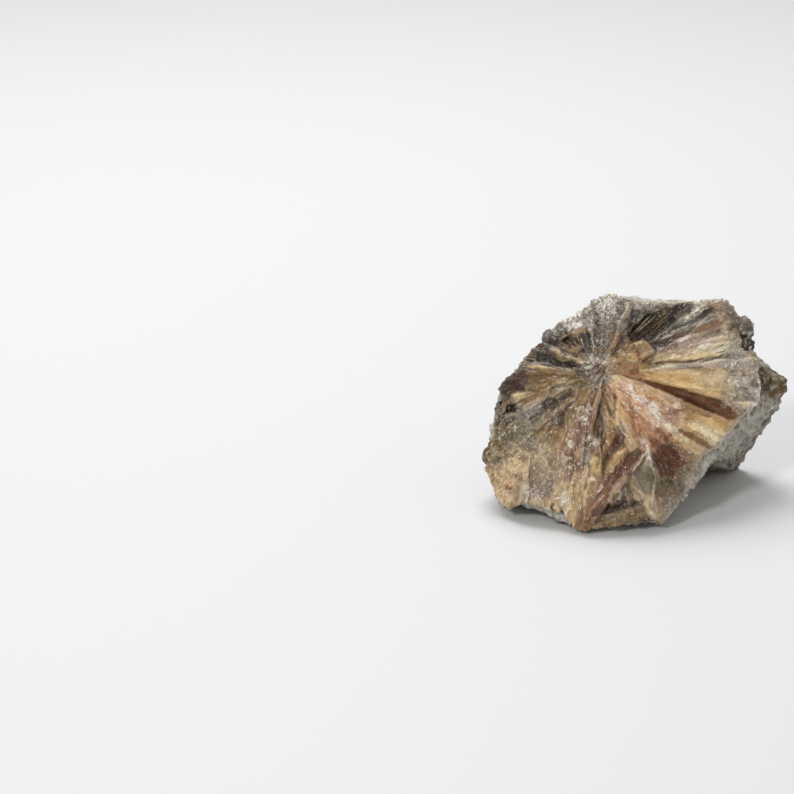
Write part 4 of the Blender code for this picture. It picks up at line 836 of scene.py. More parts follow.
# Cleavage facets, as size across, size along and depth, and flakes, as length and width.
MOSAIC = ((0.62, 1.0, 0.12), (0.32, 0.42, 0.05))
FLAKES = ((0.62, 0.34), (0.34, 0.22))
PATCH_TILT = 0.08
STANDING_VEIN = 0.5
# Frosted tones; the white ones are partly painted glints.
FROST_AND_GLINT_TONES = ("white", "haze", "lilac", "ivory")

# How far round a point colours merge, how rich they are, and for two reaches how much painted
# shade darkens the hollows and how much crests are frosted.
MERGE_REACH = 1.0
RICHNESS = 1.03
RELIEF_SHADES = ((0.3, 0.10, 0.16), (1.0, 0.20, 0.20))
WARM_SHADE = (0.80, 0.62, 0.50)
MIDDLE_BRIGHTNESS = 0.22


# ---------------------------------------------------------------- the shape of the face

def face_depth(across, up):
    """How far back the dome of the face lies, in the upright frame."""
    fall = FACE_FALL_BACK * (np.maximum(up, 0.0) / FACE_HEIGHT) ** FACE_FALL_POWER
    aside = across - FACE_CROWN_ACROSS
    crown = np.where(aside < 0, FACE_CROWN_LEFT, FACE_CROWN_RIGHT) * aside**2
    return fall + crown - FACE_FORWARD


def from_heart(angle_deg, radius):
    """(across, up) of points at this angle and radius about the heart."""
    return tuple(np.moveaxis(flat(angle_deg, radius) + HEART, -1, 0))


def on_face(angle_deg, radius, lift):
    """A point at this angle and radius about the heart, off the dome by lift towards the viewer."""
    across, up = from_heart(angle_deg, radius)
    return Vector((float(across), float(face_depth(across, up)) - lift, float(up)))


def stood_up(points):
    """Upright millimetres to metres as the specimen stands: leaned back, on the table, centred."""
    lean = math.radians(LEAN_DEG)
    across, back, up = np.asarray(points, float).T
    height = np.maximum(up * math.cos(lean) - back * math.sin(lean), 0.0)
    depth = back * math.cos(lean) + up * math.sin(lean)
    return np.stack([across - MIDDLE[0], depth - MIDDLE[1], height], 1) * MM


# ---------------------------------------------------------------- noise

def lattice(cells, seed):
    """A steady random number from 0 to 1 for each whole-number cell."""
    mixed = np.full(len(cells), seed * 1274126177, np.int64)
    for column, factor in zip(cells.astype(np.int64).T, (374761393, 668265263, 1440662683)):
        mixed += column * factor
    mixed &= 0xFFFFFFFF
    mixed = ((mixed ^ (mixed >> 13)) * 1274126177) & 0xFFFFFFFF
    return ((mixed ^ (mixed >> 16)) & 0xFFFFFF) / float(0xFFFFFF)


def noise(points, seed):
    """Smooth value noise in two or three dimensions, from -1 to 1."""
    base = np.floor(points)
    near = points - base
    near = near * near * (3 - 2 * near)
    total = np.zeros(len(points))
    for corner in itertools.product((0, 1), repeat=points.shape[1]):
        share = np.ones(len(points))
        for axis, step in enumerate(corner):
            share *= near[:, axis] if step else 1 - near[:, axis]
        total += share * lattice(base + np.array(corner), seed)
    return 2 * total - 1


def fractal(points, seed, octaves=4, gain=0.5):
    """Noise over several octaves, from about -1 to 1."""
    total, weight = np.zeros(len(points)), 0.0
    for octave in range(octaves):
        total += gain**octave * noise(points * 2**octave + 17.3 * octave, seed + octave)
        weight += gain**octave
    return total / weight


def drift(points, size, seed):
    """Two noises side by side, to push points about in a plane."""
    return np.stack([noise(points / size, seed), noise(points / size, seed + 1)], 1)


def layered(where, layers, seed):
    """Layers of noise on a blade, each as depth, size across its grain and size along it."""
    return sum(
        depth * noise(where(across, along), seed + n)
        for n, (depth, across, along) in enumerate(layers)
    )


def facets(points, seed):
    """Small tilted facets, one for each unit cell or so: height, and a steady number for each."""
    base = np.floor(points)
    nearest = np.full(len(points), np.inf)
    height, ident = np.zeros(len(points)), np.zeros(len(points))
    axes = range(points.shape[1])
    for step in itertools.product((-1, 0, 1), repeat=points.shape[1]):
        cell = base + np.array(step)
        place = np.stack([lattice(cell, seed + axis) for axis in axes], 1)
        off = points - cell - 0.15 - 0.7 * place
        away = (off**2).sum(axis=1)
        lean = 2 * np.stack([lattice(cell, seed + 5 + axis) for axis in axes], 1) - 1
        closer = away < nearest
        nearest = np.where(closer, away, nearest)
        height = np.where(closer, (off * lean).sum(axis=1), height)
        ident = np.where(closer, lattice(cell, seed + 4), ident)
    return height, ident


def smooth(low, high, value):
    t = np.clip((value - low) / (high - low), 0, 1)
    return t * t * (3 - 2 * t)


# ---------------------------------------------------------------- colours

def tone(name):
    """A named tone in linear light."""
    c = np.array(TONES[name]) / 255.0
    return np.where(c <= 0.04045, c / 12.92, ((c + 0.055) / 1.055) ** 2.4)


def blend(a, b, share):
    share = np.asarray(share)[..., None]
    return a * (1 - share) + b * share


# ---------------------------------------------------------------- lines and outlines on the face

def flat(angle_deg, radius):
    """Millimetres across and up from the heart."""
    angle = np.radians(np.asarray(angle_deg, float))
    return np.stack([radius * np.cos(angle), radius * np.sin(angle)], -1)


def turned(angle_deg):
    """An angle brought to between -180 and 180."""
    return (angle_deg + 180) % 360 - 180


def to_segment(points, start, end):
    """How far points are from a line between two ends, and their place along it, from 0 to 1."""
    line = end - start
    share = np.clip((points - start) @ line / (line @ line), 0, 1)
    return np.linalg.norm(points - start - share[:, None] * line, axis=1), share


def outside(points, corners):
    """Distance outside an outline, less than zero inside it."""
    away = np.full(len(points), np.inf)
    within = np.zeros(len(points), bool)
    x, y = points.T
    for start, end in zip(corners, np.roll(corners, -1, axis=0)):
        away = np.minimum(away, to_segment(points, start, end)[0])
        crosses = (start[1] > y) != (end[1] > y)
        across, up = end - start
        within ^= crosses & (x < across * (y - start[1]) / (up + 1e-12) + start[0])
    return np.where(within, -away, away)


def levelled(points, corners, values):
    """Values at the corners, spread over the points between them."""
    total, weights = np.zeros(len(points)), np.zeros(len(points))
    for corner, value in zip(corners, values):
        near = 1 / (((points - corner) ** 2).sum(axis=1) + 0.4) ** 1.5
        total += near * value
        weights += near
    return total / weights


def crossings(rays, outline):
    """The nearest and the furthest radius at which each ray from the heart crosses an outline."""
    nearest, furthest = np.full(len(rays), np.inf), np.zeros(len(rays))
    for first, second in zip(outline, [*outline[1:], outline[0]]):
        sweep = float(turned(second[0] - first[0]))
        if abs(sweep) < 1e-6:
            continue
        off = turned(rays - first[0])
        hit = (off * np.sign(sweep) >= 0) & (np.abs(off) <= abs(sweep))
        bottom = first[1] * np.sin(np.radians(off)) + second[1] * np.sin(np.radians(sweep - off))
        bottom = np.where(bottom == 0, 1, bottom)
        radius = first[1] * second[1] * math.sin(math.radians(sweep)) / bottom
        nearest = np.where(hit, np.minimum(nearest, radius), nearest)
        furthest = np.where(hit, np.maximum(furthest, radius), furthest)
    return nearest, furthest


# ---------------------------------------------------------------- the blades' relief

def on_grain(v, u):
    """Places on a blade to sample noise at, given its size across the grain and along it."""
    return lambda across, along: np.stack([v / across, u / along], 1)


def cleanness(name):
    """How sharp the cleavage of a blade is, by how granular it is."""
    return 1 - 0.6 * FINISHES[name][2]


def strip_levels(across, width, rng):
    """Heights of the strips that a blade splits into; across runs from 0 to 1 over its width."""
    level = np.zeros(len(across))
    strips = int(np.clip(width / STRIP_WIDTH, 1, MOST_STRIPS))
    for cut in [-1.0, *np.sort(rng.uniform(0.06, 0.94, strips))]:
        offset, slope = rng.uniform(-0.12, 0.10), rng.uniform(-0.16, 0.16)
        level = np.where(across >= cut, offset + slope * (across - cut) * width, level)
    return level * min(1.0, width / 2.5)


def growth_steps(along, v, across, length, seed, rng):
    """The drops at a blade's growth steps, each a ragged line over part of its width."""
    for n in range(int(np.clip(length / STEP_LENGTH, 1, MOST_STEPS))):
        place = rng.uniform(0.12, 0.95) * length
        ragged = 1.5 * noise(v[:, None] / 0.6, seed + 6 + n)
        ragged += 0.5 * noise(v[:, None] / 0.18, seed + 16 + n)
        start, stop = np.sort(rng.uniform(-0.3, 1.3, 2))
        drop = rng.uniform(0.05, 0.2) * (1 if rng.random() < 0.65 else -1)
        step = smooth(-STEP_SOFTNESS, STEP_SOFTNESS, along - place - ragged)
        yield drop * step * (across > start) * (across < stop)


def with_fine_relief(height, name, where, gap, seed):
    """The heights of a blade with its laminae, waves, grain, pits and rounded edges."""
    rough, striae = FINISHES[name][2], STRIATED.get(name, 1.0)
    laminae = 2.2 * fractal(where(1.1, 7.0), seed + 20, 3, 0.6)
    steps = np.floor(laminae) + smooth(0.8, 1.0, laminae % 1)
    height += cleanness(name) * LAMINA_DEPTH * striae * steps
    height += 0.03 * (striae - 1) * fractal(where(0.3, 6.0), seed + 22, 3)
    height += 0.26 * fractal(where(1.6, 2.4), seed + 24, 3)
    height += rough * 0.55 * fractal(where(0.7, 0.8), seed + 28, 4, 0.6)
    pit = smooth(0.34, 0.6, fractal(where(0.45, 1.3), seed + 32, 2))
    height -= (0.02 + 0.25 * rough) * pit
    rounded = 1 - smooth(0, EDGE_ROUNDING, -gap)
    return height - (0.09 + 0.08 * noise(where(0.7, 0.7), seed + 36)) * rounded


class Face:
    """Everything known at each point of a grid of spokes and rings over the face."""

    def __init__(self):
        self.rays = np.arange(0, 360, SPOKE_PITCH)
        self.reach = self.broken_rim()
        share = np.linspace(0, 1, RINGS) ** RING_POWER
        radius = HEART_RADIUS + (self.reach[:, None] - HEART_RADIUS) * share
        self.shape = radius.shape
        angle = np.repeat(self.rays[:, None], RINGS, 1)
        self.angle, self.radius = angle.ravel(), radius.ravel()
        self.to_rim = (self.reach[:, None] - radius).ravel()
        self.spot = flat(self.angle, self.radius)
        count = len(self.spot)
        self.height = GROUND + 0.3 * fractal(self.spot, 90, 3)
        self.second = np.full(count, GROUND - 0.5)
        self.owner = np.full(count, -1)
        self.grain = np.zeros((count, 3))
        self.share = np.zeros(count)
        self.border = np.zeros(count)
        self.frost, self.frosting = np.full(count, 0.3), np.zeros(count)
        self.rough = np.full(count, 0.5)
        self.names = []

    def broken_rim(self):
        """How far the face reaches at each spoke: the rim or the furthest blade, less the notch."""
        reach = crossings(self.rays, RIM)[1]
        for outline in BLADES.values():
            reach = np.maximum(reach, crossings(self.rays, outline)[1])
        notch = crossings(self.rays, VALLEYS["left_notch"])[0]
        reach = np.minimum(reach, notch)
        place = flat(self.rays, reach)
        ragged = 1 - 0.6 * pale_side(self.rays)
        rags = 0.3 * noise(place / 0.9, 71) + 0.2 * noise(place / 0.3, 72)
        return reach + ragged * rags - RIM_INSET

    def raise_blade(self, name, outline, tilt, grown_in=True):
        """One blade laid over the others, where it stands higher.

        One that is grown in fills the gaps beside it.
        """
        number = len(self.names)
        self.names.append(name)
        seed = seed_of(number)
        rng = np.random.default_rng(seed)
        sheer = name in SHEER_BLADES
        corners = np.array(outline, float)
        middle = flat(corners[:, 0], corners[:, 1]).mean(axis=0)
        radial_deg = math.degrees(math.atan2(middle[1], middle[0]))
        grain = math.radians(GRAIN_ANGLES.get(name, radial_deg))
        sideways = corners[:, 1] * np.radians(corners[:, 0] - corners[:, 0].mean())
        rises = np.clip(tilt * sideways, -BLADE_MOST_TILT, BLADE_MOST_TILT)
        if not sheer:
            corners[:, 0] += np.degrees(np.copysign(BLADE_SPREAD, sideways) / corners[:, 1])
        axes = np.array([
            [math.cos(grain), math.sin(grain)],
            [-math.sin(grain), math.cos(grain)],
        ]).T
        ring = flat(corners[:, 0], corners[:, 1]) @ axes
        in_turn = ring[np.argsort(np.arctan2(*(ring - ring.mean(axis=0)).T[::-1]))]
        middle = ring.mean(axis=0)
        size = np.linalg.norm(ring - middle, axis=1).max() + REACH_OUT
        local = self.spot @ axes
        near = np.flatnonzero(((local - middle) ** 2).sum(axis=1) < size**2)
        u, v = local[near].T
        low, high = ring.min(axis=0), ring.max(axis=0)
        length, width = high - low
        where = on_grain(v, u)

        # Fibres end raggedly; sides wander a little.
        ends, sides = layered(where, END_RAGS, seed), layered(where, SIDE_WAVES, seed + 2)
        squeezed = np.array([END_STRETCH, 1.0])
        frayed = np.stack([u + ends * min(1.0, length / 5), v + sides], 1)
        gap = outside(frayed * squeezed, in_turn * squeezed)
        gap += 0.07 * noise(where(0.3, 0.3), seed + 4)

        lifts = BLADE_LIFT * corners[:, 2] + rises
        height = SETTLED * levelled(np.stack([u, v], 1), ring, lifts)
        clean = cleanness(name)
        across = (v - low[1]) / width + 0.05 * noise(where(6.0, 3.5), seed + 5)
        height += clean * strip_levels(across, width, rng)
        for drop in growth_steps(u - low[0], v, across, length, seed, rng):
            height -= clean * drop
        height = with_fine_relief(height, name, where, gap, seed)

        past = np.maximum(gap, 0)
        wall = height - (SHEER_WALL_SLOPE if sheer or not grown_in else WALL_SLOPE) * past
        filler = np.minimum(height, FILLER_TOP) - FILLER_SLOPE * past
        filler = np.minimum(filler, height - FILLER_DROP) if grown_in else wall
        height = np.where(gap > 0, np.maximum(wall, filler), height)
        height = np.where(gap > REACH_OUT - 0.2, GROUND - 1, height)

        wins = height > self.height[near]
        lower = np.maximum(self.second[near], height)
        self.second[near] = np.where(wins, self.height[near], lower)
        won = near[wins]
        self.height[won] = height[wins]
        self.owner[won] = number
        self.border[won] = -gap[wins]
        ident = np.full(len(u), float(seed % 97))
        self.grain[won] = np.stack([v, u, ident * 7.1], 1)[wins]
        self.share[won] = ((u - low[0]) / length)[wins]

    def sink_valley(self, outline):
        """A valley cut down through the blades, with steep walls."""
        corners = np.array(outline, float)
        ring = flat(corners[:, 0], corners[:, 1])
        gap = outside(self.spot, ring)
        gap += 0.16 * noise(self.spot / 0.9, 81)
        inside = np.flatnonzero(gap < 0)
        spot = self.spot[inside]
        floor = -levelled(spot, ring, corners[:, 2]) + 0.25 * fractal(spot / 0.8, 83, 3)
        sunk = np.maximum(self.height[inside] + VALLEY_WALL * gap[inside], floor)
        self.height[inside] = np.minimum(self.height[inside], sunk)
        at_floor = inside[sunk <= floor + 1e-9]
        self.owner[at_floor] = -1

    def soften(self):
        """Rounds off the steps between blades, as weathered gypsum is."""
        for reach, share in SOFTENING:
            self.height += share * (self.around(self.height, reach) - self.height)

    def set_mosaic(self):
        """Small cleavage facets all over the blades, coarser where they are granular."""
        v, u, ident = self.grain.T
        self.mosaic = np.zeros(len(v))
        for n, (across, along, depth) in enumerate(MOSAIC):
            where = np.stack([v / across + 3.7 * ident, u / along + 1.9 * ident], 1)
            where += 0.25 * np.stack([noise(where, 441 + n), noise(where, 451 + n)], 1)
            lean, shade = facets(where, 461 + 10 * n)
            presence = smooth(-0.35, 0.35, fractal(self.spot / 2.3, 471 + n, 2))
            self.height += depth * lean * (0.35 + 0.65 * presence)
            self.mosaic += (shade - 0.5) * (0.35 + 0.65 * presence)

    def draw_veins(self):
        """Where the veins run, as (points, share, tone), raising or sinking the face under them."""
        washed = []
        wander = 0.6 * drift(self.spot, 2.4, 61) + 0.10 * drift(self.spot, 0.5, 63)
        for start, end, width, name, raised in VEINS:
            first, last = flat(*start), flat(*end)
            reach = np.linalg.norm(last - first) / 2 + 3 * width + 1
            near = np.flatnonzero(np.linalg.norm(self.spot - (first + last) / 2, axis=1) < reach)
            standing = raised > STANDING_VEIN
            wandering = 0.15 if standing else 1.0
            away, along = to_segment(self.spot[near] + wandering * wander[near], first, last)
            taper = smooth(0, 0.22, along) * smooth(0, 0.3, 1 - along) * 0.8 + 0.2
            profile = np.exp(-((away / (width * taper)) ** 2))
            profile *= 0.75 + 0.5 * noise(self.spot[near] / 0.7, 65)
            self.height[near] += (raised if standing else 0.6 * raised) * profile
            washed.append((near, 0.6 * np.clip(profile, 0, 1), name))
        return washed

    def spread_washes(self):
        """Where each wash of colour lies, as (points, share, tone)."""
        washed = []
        blot = 0.45 * fractal(self.spot / 0.9, 51, 4, 0.6)
        for middle, length, width, name, strength in WASHES:
            along, aside = self.from_spot(middle)
            away = np.hypot(along / length, aside / width)
            near = np.flatnonzero(away < 1.6)
            washed.append((near, strength * smooth(1.15, 0.6, away[near] + blot[near]), name))
        return washed

    def lay_patches(self):
        """Where each patch lies, as (points, share, tone), each tilted a little its own way."""
        washed = []
        wander = 0.22 * drift(self.spot, 0.8, 111) + 0.10 * drift(self.spot, 0.3, 113)
        # Frosted and white patches break into shards, the white ones partly as painted glints.
        shards = 0.3 + 0.7 * smooth(0.3, 0.55, facets(self.spot / 0.55 + wander, 115)[1])
        rng = np.random.default_rng(SEED)
        for name, strength, soft, rise, corners in PATCHES:
            ring = flat(*np.array(corners, float).T)
            middle = ring.mean(axis=0)
            off = self.spot + wander - middle
            reach = np.linalg.norm(ring - middle, axis=1).max() + soft
            near = np.flatnonzero(np.linalg.norm(off, axis=1) < reach)
            gap = outside(off[near] + middle, ring)
            tilt = rng.uniform(-PATCH_TILT, PATCH_TILT, 2)
            within = smooth(soft, -soft, gap)
            self.height[near] += within * np.clip(rise * 0.7 + off[near] @ tilt, -0.5, 0.4)
            broken = shards[near] if name in FROST_AND_GLINT_TONES else 1
            washed.append((near, strength * within * broken, name))
        return washed

    def set_sparkles(self):
        """Small cleavage flakes standing up from the face, painted bright as glints: (points,
        share, tone).
        """
        washed = []
        for n, (middle, length, width, name, density) in enumerate(SPARKLES):
            along, aside = self.from_spot(middle)
            near = np.flatnonzero(np.hypot(along / length, aside / width) < 1)
            along, aside = along[near], aside[near]
            fade = 1 - np.hypot(along / length, aside / width) ** 2
            painted_glint_share = np.zeros(len(near))
            for layer, (long, wide) in enumerate(FLAKES):
                u, v = along / long + 0.5 * layer, aside / wide + 0.5 * layer
                cell = np.stack([np.floor(u), np.floor(v), np.full(len(near), n)], 1)
                inner = np.minimum(0.5 - np.abs(u % 1 - 0.5), 0.5 - np.abs(v % 1 - 0.5))
                flake = (lattice(cell, 401 + layer) < density * fade) * smooth(0.06, 0.2, inner)
                lean = (u % 1 - 0.5) * (lattice(cell, 411 + layer) - 0.5)
                self.height[near] += flake * (0.05 + 0.32 * lean)
                painted_glint_share = np.maximum(painted_glint_share, flake * (0.4 + 0.6 * lattice(cell, 421 + layer)))
            washed.append((near, painted_glint_share, name))
        return washed

    def from_spot(self, middle):
        """How far every point is from one spot, along its radius and across it."""
        axis = flat(middle[0], 1.0)
        off = self.spot - flat(*middle)
        return off @ axis, off @ np.array([-axis[1], axis[0]])

    def owned(self):
        """The blades that show, as (number, name, points)."""
        for number, name in enumerate(self.names):
            own = np.flatnonzero(self.owner == number)
            if len(own):
                yield number, name, own

    def blade_tones(self):
        """Every point in its blade's tones, merged where blades meet."""
        # Points that no blade covers start dark umber: painted shade in the gaps between blades.
        colour = np.tile(tone("umber") * 0.8, (len(self.spot), 1))
        for _, name, own in self.owned():
            inner, outer = FINISHES[name][:2]
            colour[own] = blend(tone(inner), tone(outer), smooth(0.1, 0.9, self.share[own]))
        return np.stack([self.around(band, MERGE_REACH) for band in colour.T], 1)

    def grown_tints(self, colour):
        """The tints of each blade as it grew: streaked, warmer or cooler in patches, pale-edged."""
        for number, name, own in self.owned():
            rough, frosting = FINISHES[name][2:]
            seed = 3000 + 29 * number
            where = on_grain(*self.grain[own, :2].T)
            broad = fractal(where(1.5, 1.9), seed + 44, 3)
            streak = fractal(where(0.5, 5.0), seed + 40, 3)
            made = colour[own]
            made *= (1 + 0.06 * STRIATED.get(name, 1.0) * streak + 0.20 * broad)[:, None]
            made *= (1 + (0.12 + 0.3 * rough) * self.mosaic[own])[:, None]
            warm = fractal(where(1.3, 1.6), seed + 48, 4, 0.6)
            warmer = smooth(0.0, 0.6, warm) * (0.7 - 0.4 * frosting)
            made = blend(made, made * np.array(WARM_SHADE), warmer)
            cool = fractal(where(1.1, 1.3), seed + 56, 3, 0.6)
            cooler = smooth(0.1, 0.7, cool) * (0.06 + 0.45 * frosting)
            made = blend(made, tone("lilac") * 0.75, cooler)
            border = self.border[own]
            edge = np.clip(1 - border / 0.28, 0, 1) * (border > -0.1) * (0.2 + 0.6 * frosting)
            edge *= 0.6 + 0.8 * fractal(where(0.6, 0.9), seed + 52, 2)
            colour[own] = blend(made, tone("ivory") * 0.95, np.clip(0.7 * edge, 0, 0.6))
            self.frost[own] = 0.2 + 0.4 * rough + 0.4 * frosting * smooth(-0.2, 0.6, -warm)
            self.frosting[own], self.rough[own] = frosting, rough
        return colour

    def washed_over(self, colour, washed):
        """The colours with the veins, washes, patches and flakes laid over them."""
        frosting_grain = fractal(self.spot / 0.36, 93, 3, 0.7)
        for near, share, name in washed:
            grainy = 1 - 0.35 * noise(self.spot[near] / 0.5, 57)
            if name in FROST_AND_GLINT_TONES:
                grainy *= 0.3 + 0.9 * smooth(-0.15, 0.2, frosting_grain[near])
            bright = colour[near].mean(axis=1) / MIDDLE_BRIGHTNESS
            lively = tone(name) * np.clip(0.75 + 0.25 * bright, 0.7, 1.2)[:, None]
            colour[near] = blend(colour[near], lively, np.clip(share * grainy, 0, 1))
        merged = [smeared(band.reshape(self.shape), 1, 1).ravel() for band in colour.T]
        return blend(colour, np.stack(merged, 1), 0.5)

    def shaded(self, colour):
        """The colours with painted shade in hollows, seams and valleys, and with crests frosted."""
        for reach, dark, light in RELIEF_SHADES:
            # Painted shade in the hollows, and frost on the crests.
            hollow = self.around(self.height, reach) - self.height
            depth = np.clip(hollow / (0.22 * reach), -1, 1)
            colour *= (1 - dark * np.maximum(depth, 0))[:, None]
            crest = np.maximum(-depth, 0) * (0.15 + 0.85 * self.frosting) * light
            colour = blend(colour, tone("ivory"), np.clip(crest, 0, 1))
        # Painted shade along seams, where a blade stands only just above the one beneath.
        seam = np.exp(-np.maximum(self.height - self.second, 0) / 0.10)
        # Painted shade deep in the valleys.
        below = smooth(-0.6, -2.4, self.height)
        return colour * ((1 - 0.14 * seam) * (1 - 0.2 * below))[:, None]

    def speckled(self, colour):
        """The colours with mottling, specks and glints, and with the pale edge of the matrix."""
        mottle = fractal(self.spot / 0.9, 99, 4, 0.65)
        speck = np.tanh(2.5 * fractal(self.spot / 0.27, 97, 2))
        spotted = (0.16 + 0.2 * self.rough) * mottle + (0.12 + 0.16 * self.rough) * speck
        colour *= (1 + spotted)[:, None]
        glint = smooth(0.42, 0.62, noise(self.spot / 0.24, 95)) * (0.15 + 0.6 * self.frosting)
        glint *= smooth(-0.3, 0.4, fractal(self.spot / 2.6, 94, 2))
        colour = blend(colour, tone("white"), 0.7 * glint)
        pale_end = smooth(1.3, 0.2, self.to_rim + 0.5 * mottle) * pale_side(self.angle)
        colour = blend(colour, tone("stone") * 1.2, 0.8 * pale_end)
        grey = np.repeat(colour.mean(axis=1, keepdims=True), 3, 1)
        return blend(grey, colour, RICHNESS)

    def around(self, values, reach):
        """Values averaged this far round each point, in millimetres."""
        grid = values.reshape(self.shape)
        rings = max(1, round(reach / (self.reach.mean() / RINGS)))
        pitch = np.radians(SPOKE_PITCH) * self.radius.reshape(self.shape)
        wanted = np.log2(np.clip(reach / pitch, 1, 64))
        total, weights = np.zeros(self.shape), np.zeros(self.shape)
        for level in range(7):
            share = np.clip(1 - np.abs(wanted - level), 0, 1)
            total += share * smeared(grid, 2**level, rings)
            weights += share
        return (total / weights).ravel()

    def points(self, height):
        across, up = (self.spot + HEART).T
        return np.stack([across, face_depth(across, up) - height, up], 1)


def pale_side(angle_deg):
    """One where the rim turns into pale matrix, at the lower right, and none elsewhere."""
    return math.prod(smooth(low, high, angle_deg) for low, high in PALE_SIDE)


def seed_of(number):
    """The seed of a blade's own noise."""
    return 1000 + 37 * number


def smeared(grid, spokes, rings):
    """A grid averaged over nearby spokes, round the full turn, and nearby rings."""
    for axis, reach, way in ((0, spokes, "wrap"), (1, rings, "edge")):
        sides = [(0, 0), (0, 0)]
        sides[axis] = (reach + 1, reach)
        span = 2 * reach + 1
        summed = np.moveaxis(np.cumsum(np.pad(grid, sides, mode=way), axis=axis), axis, 0)
        grid = np.moveaxis((summed[span:] - summed[:-span]) / span, 0, axis)
    return grid


def tilts():
    """The same tilt for each blade as its solid has."""
    rng = random.Random(SEED)
    return {
        name: 0.0 if name in FLAT_BLADES else rng.uniform(-BLADE_TILT, BLADE_TILT)
        for name in BLADES
    }


def grown_face():
    """The whole face, as (face, points, colours, frost).

    Blades come first, then valleys, what lies in the valleys, and veins, washes and flakes with
    their painted glints.
    """
    face = Face()
    tilt = tilts()
    for name, outline in BLADES.items():
        if name not in VALLEY_BLADES:
            face.raise_blade(name, outline, tilt[name])
    for name, outline in VALLEYS.items():
        if name != "left_notch":
            face.sink_valley(outline)
    groove = "groove_blade"
    face.raise_blade(groove, BLADES[groove], tilt[groove], grown_in=False)
    for name, outline in FLOOR_BLADES.items():
        face.raise_blade(name, outline, 0.0, grown_in=False)
    face.soften()
    face.set_mosaic()
    washed = face.spread_washes() + face.lay_patches() + face.draw_veins() + face.set_sparkles()
    colour = face.washed_over(face.grown_tints(face.blade_tones()), washed)
    colour = face.speckled(face.shaded(colour))
    edge, shoulder = (
        depth * (1 - smooth(0, reach, face.to_rim)) for depth, reach in RIM_ROLLS
    )
    rolled = edge + shoulder * smooth(-0.3, 0.5, noise(face.spot / 1.4, 73))
    return face, face.points(face.height - rolled), colour, np.clip(face.frost, 0, 1)


# ---------------------------------------------------------------- meshes

class Pile:
    """Meshes gathered into one, with their tint, fibre coordinates and frost."""

    def __init__(self):
        self.points, self.faces, self.tints, self.fibres, self.frosts = [], [], [], [], []
        self.count = 0

    def add(self, points, faces, tint, fibre, frost):
        """Adds points and arrays of triangles or quads."""
        self.points.append(points)
        self.faces += [corners + self.count for corners in faces]
        self.tints.append(tint)
        self.fibres.append(fibre)
        self.frosts.append(frost)
        self.count += len(points)

    def make(self, name, material, sharp_deg):
        """The object, stood up, with its attributes."""
        points = stood_up(np.concatenate(self.points))
        loops = np.concatenate([corners.ravel() for corners in self.faces])
        sizes = np.concatenate([np.full(len(corners), corners.shape[1]) for corners in self.faces])
        mesh = bpy.data.meshes.new(name)
        mesh.vertices.add(len(points))
        mesh.vertices.foreach_set("co", points.ravel())
        mesh.loops.add(len(loops))
        mesh.loops.foreach_set("vertex_index", loops.astype(np.int32))
        mesh.polygons.add(len(sizes))
        mesh.polygons.foreach_set("loop_start", (np.cumsum(sizes) - sizes).astype(np.int32))
        mesh.update(calc_edges=True)
        mesh.validate()
        tint = np.clip(np.concatenate(self.tints), 0, 1)
        for label, kind, key, values in (
            ("tint", "FLOAT_COLOR", "color", np.column_stack([tint, np.ones(len(tint))])),
            ("fibre", "FLOAT_VECTOR", "vector", np.concatenate(self.fibres)),
            ("frost", "FLOAT", "value", np.concatenate(self.frosts)),
        ):
            mesh.attributes.new(label, kind, "POINT").data.foreach_set(key, values.ravel())
        mesh.shade_smooth()
        mesh.set_sharp_from_angle(angle=math.radians(sharp_deg))
        mesh.materials.append(material)
        made = bpy.data.objects.new(name, mesh)
        bpy.context.scene.collection.objects.link(made)
        return made


def grid_quads(rows, columns):
    """The points of a grid by number, and the quads between them."""
    index = np.arange(rows * columns).reshape(rows, columns)
    corners = [index[:-1, :-1], index[:-1, 1:], index[1:, 1:], index[1:, :-1]]
    return index, np.stack(corners, -1).reshape(-1, 4)


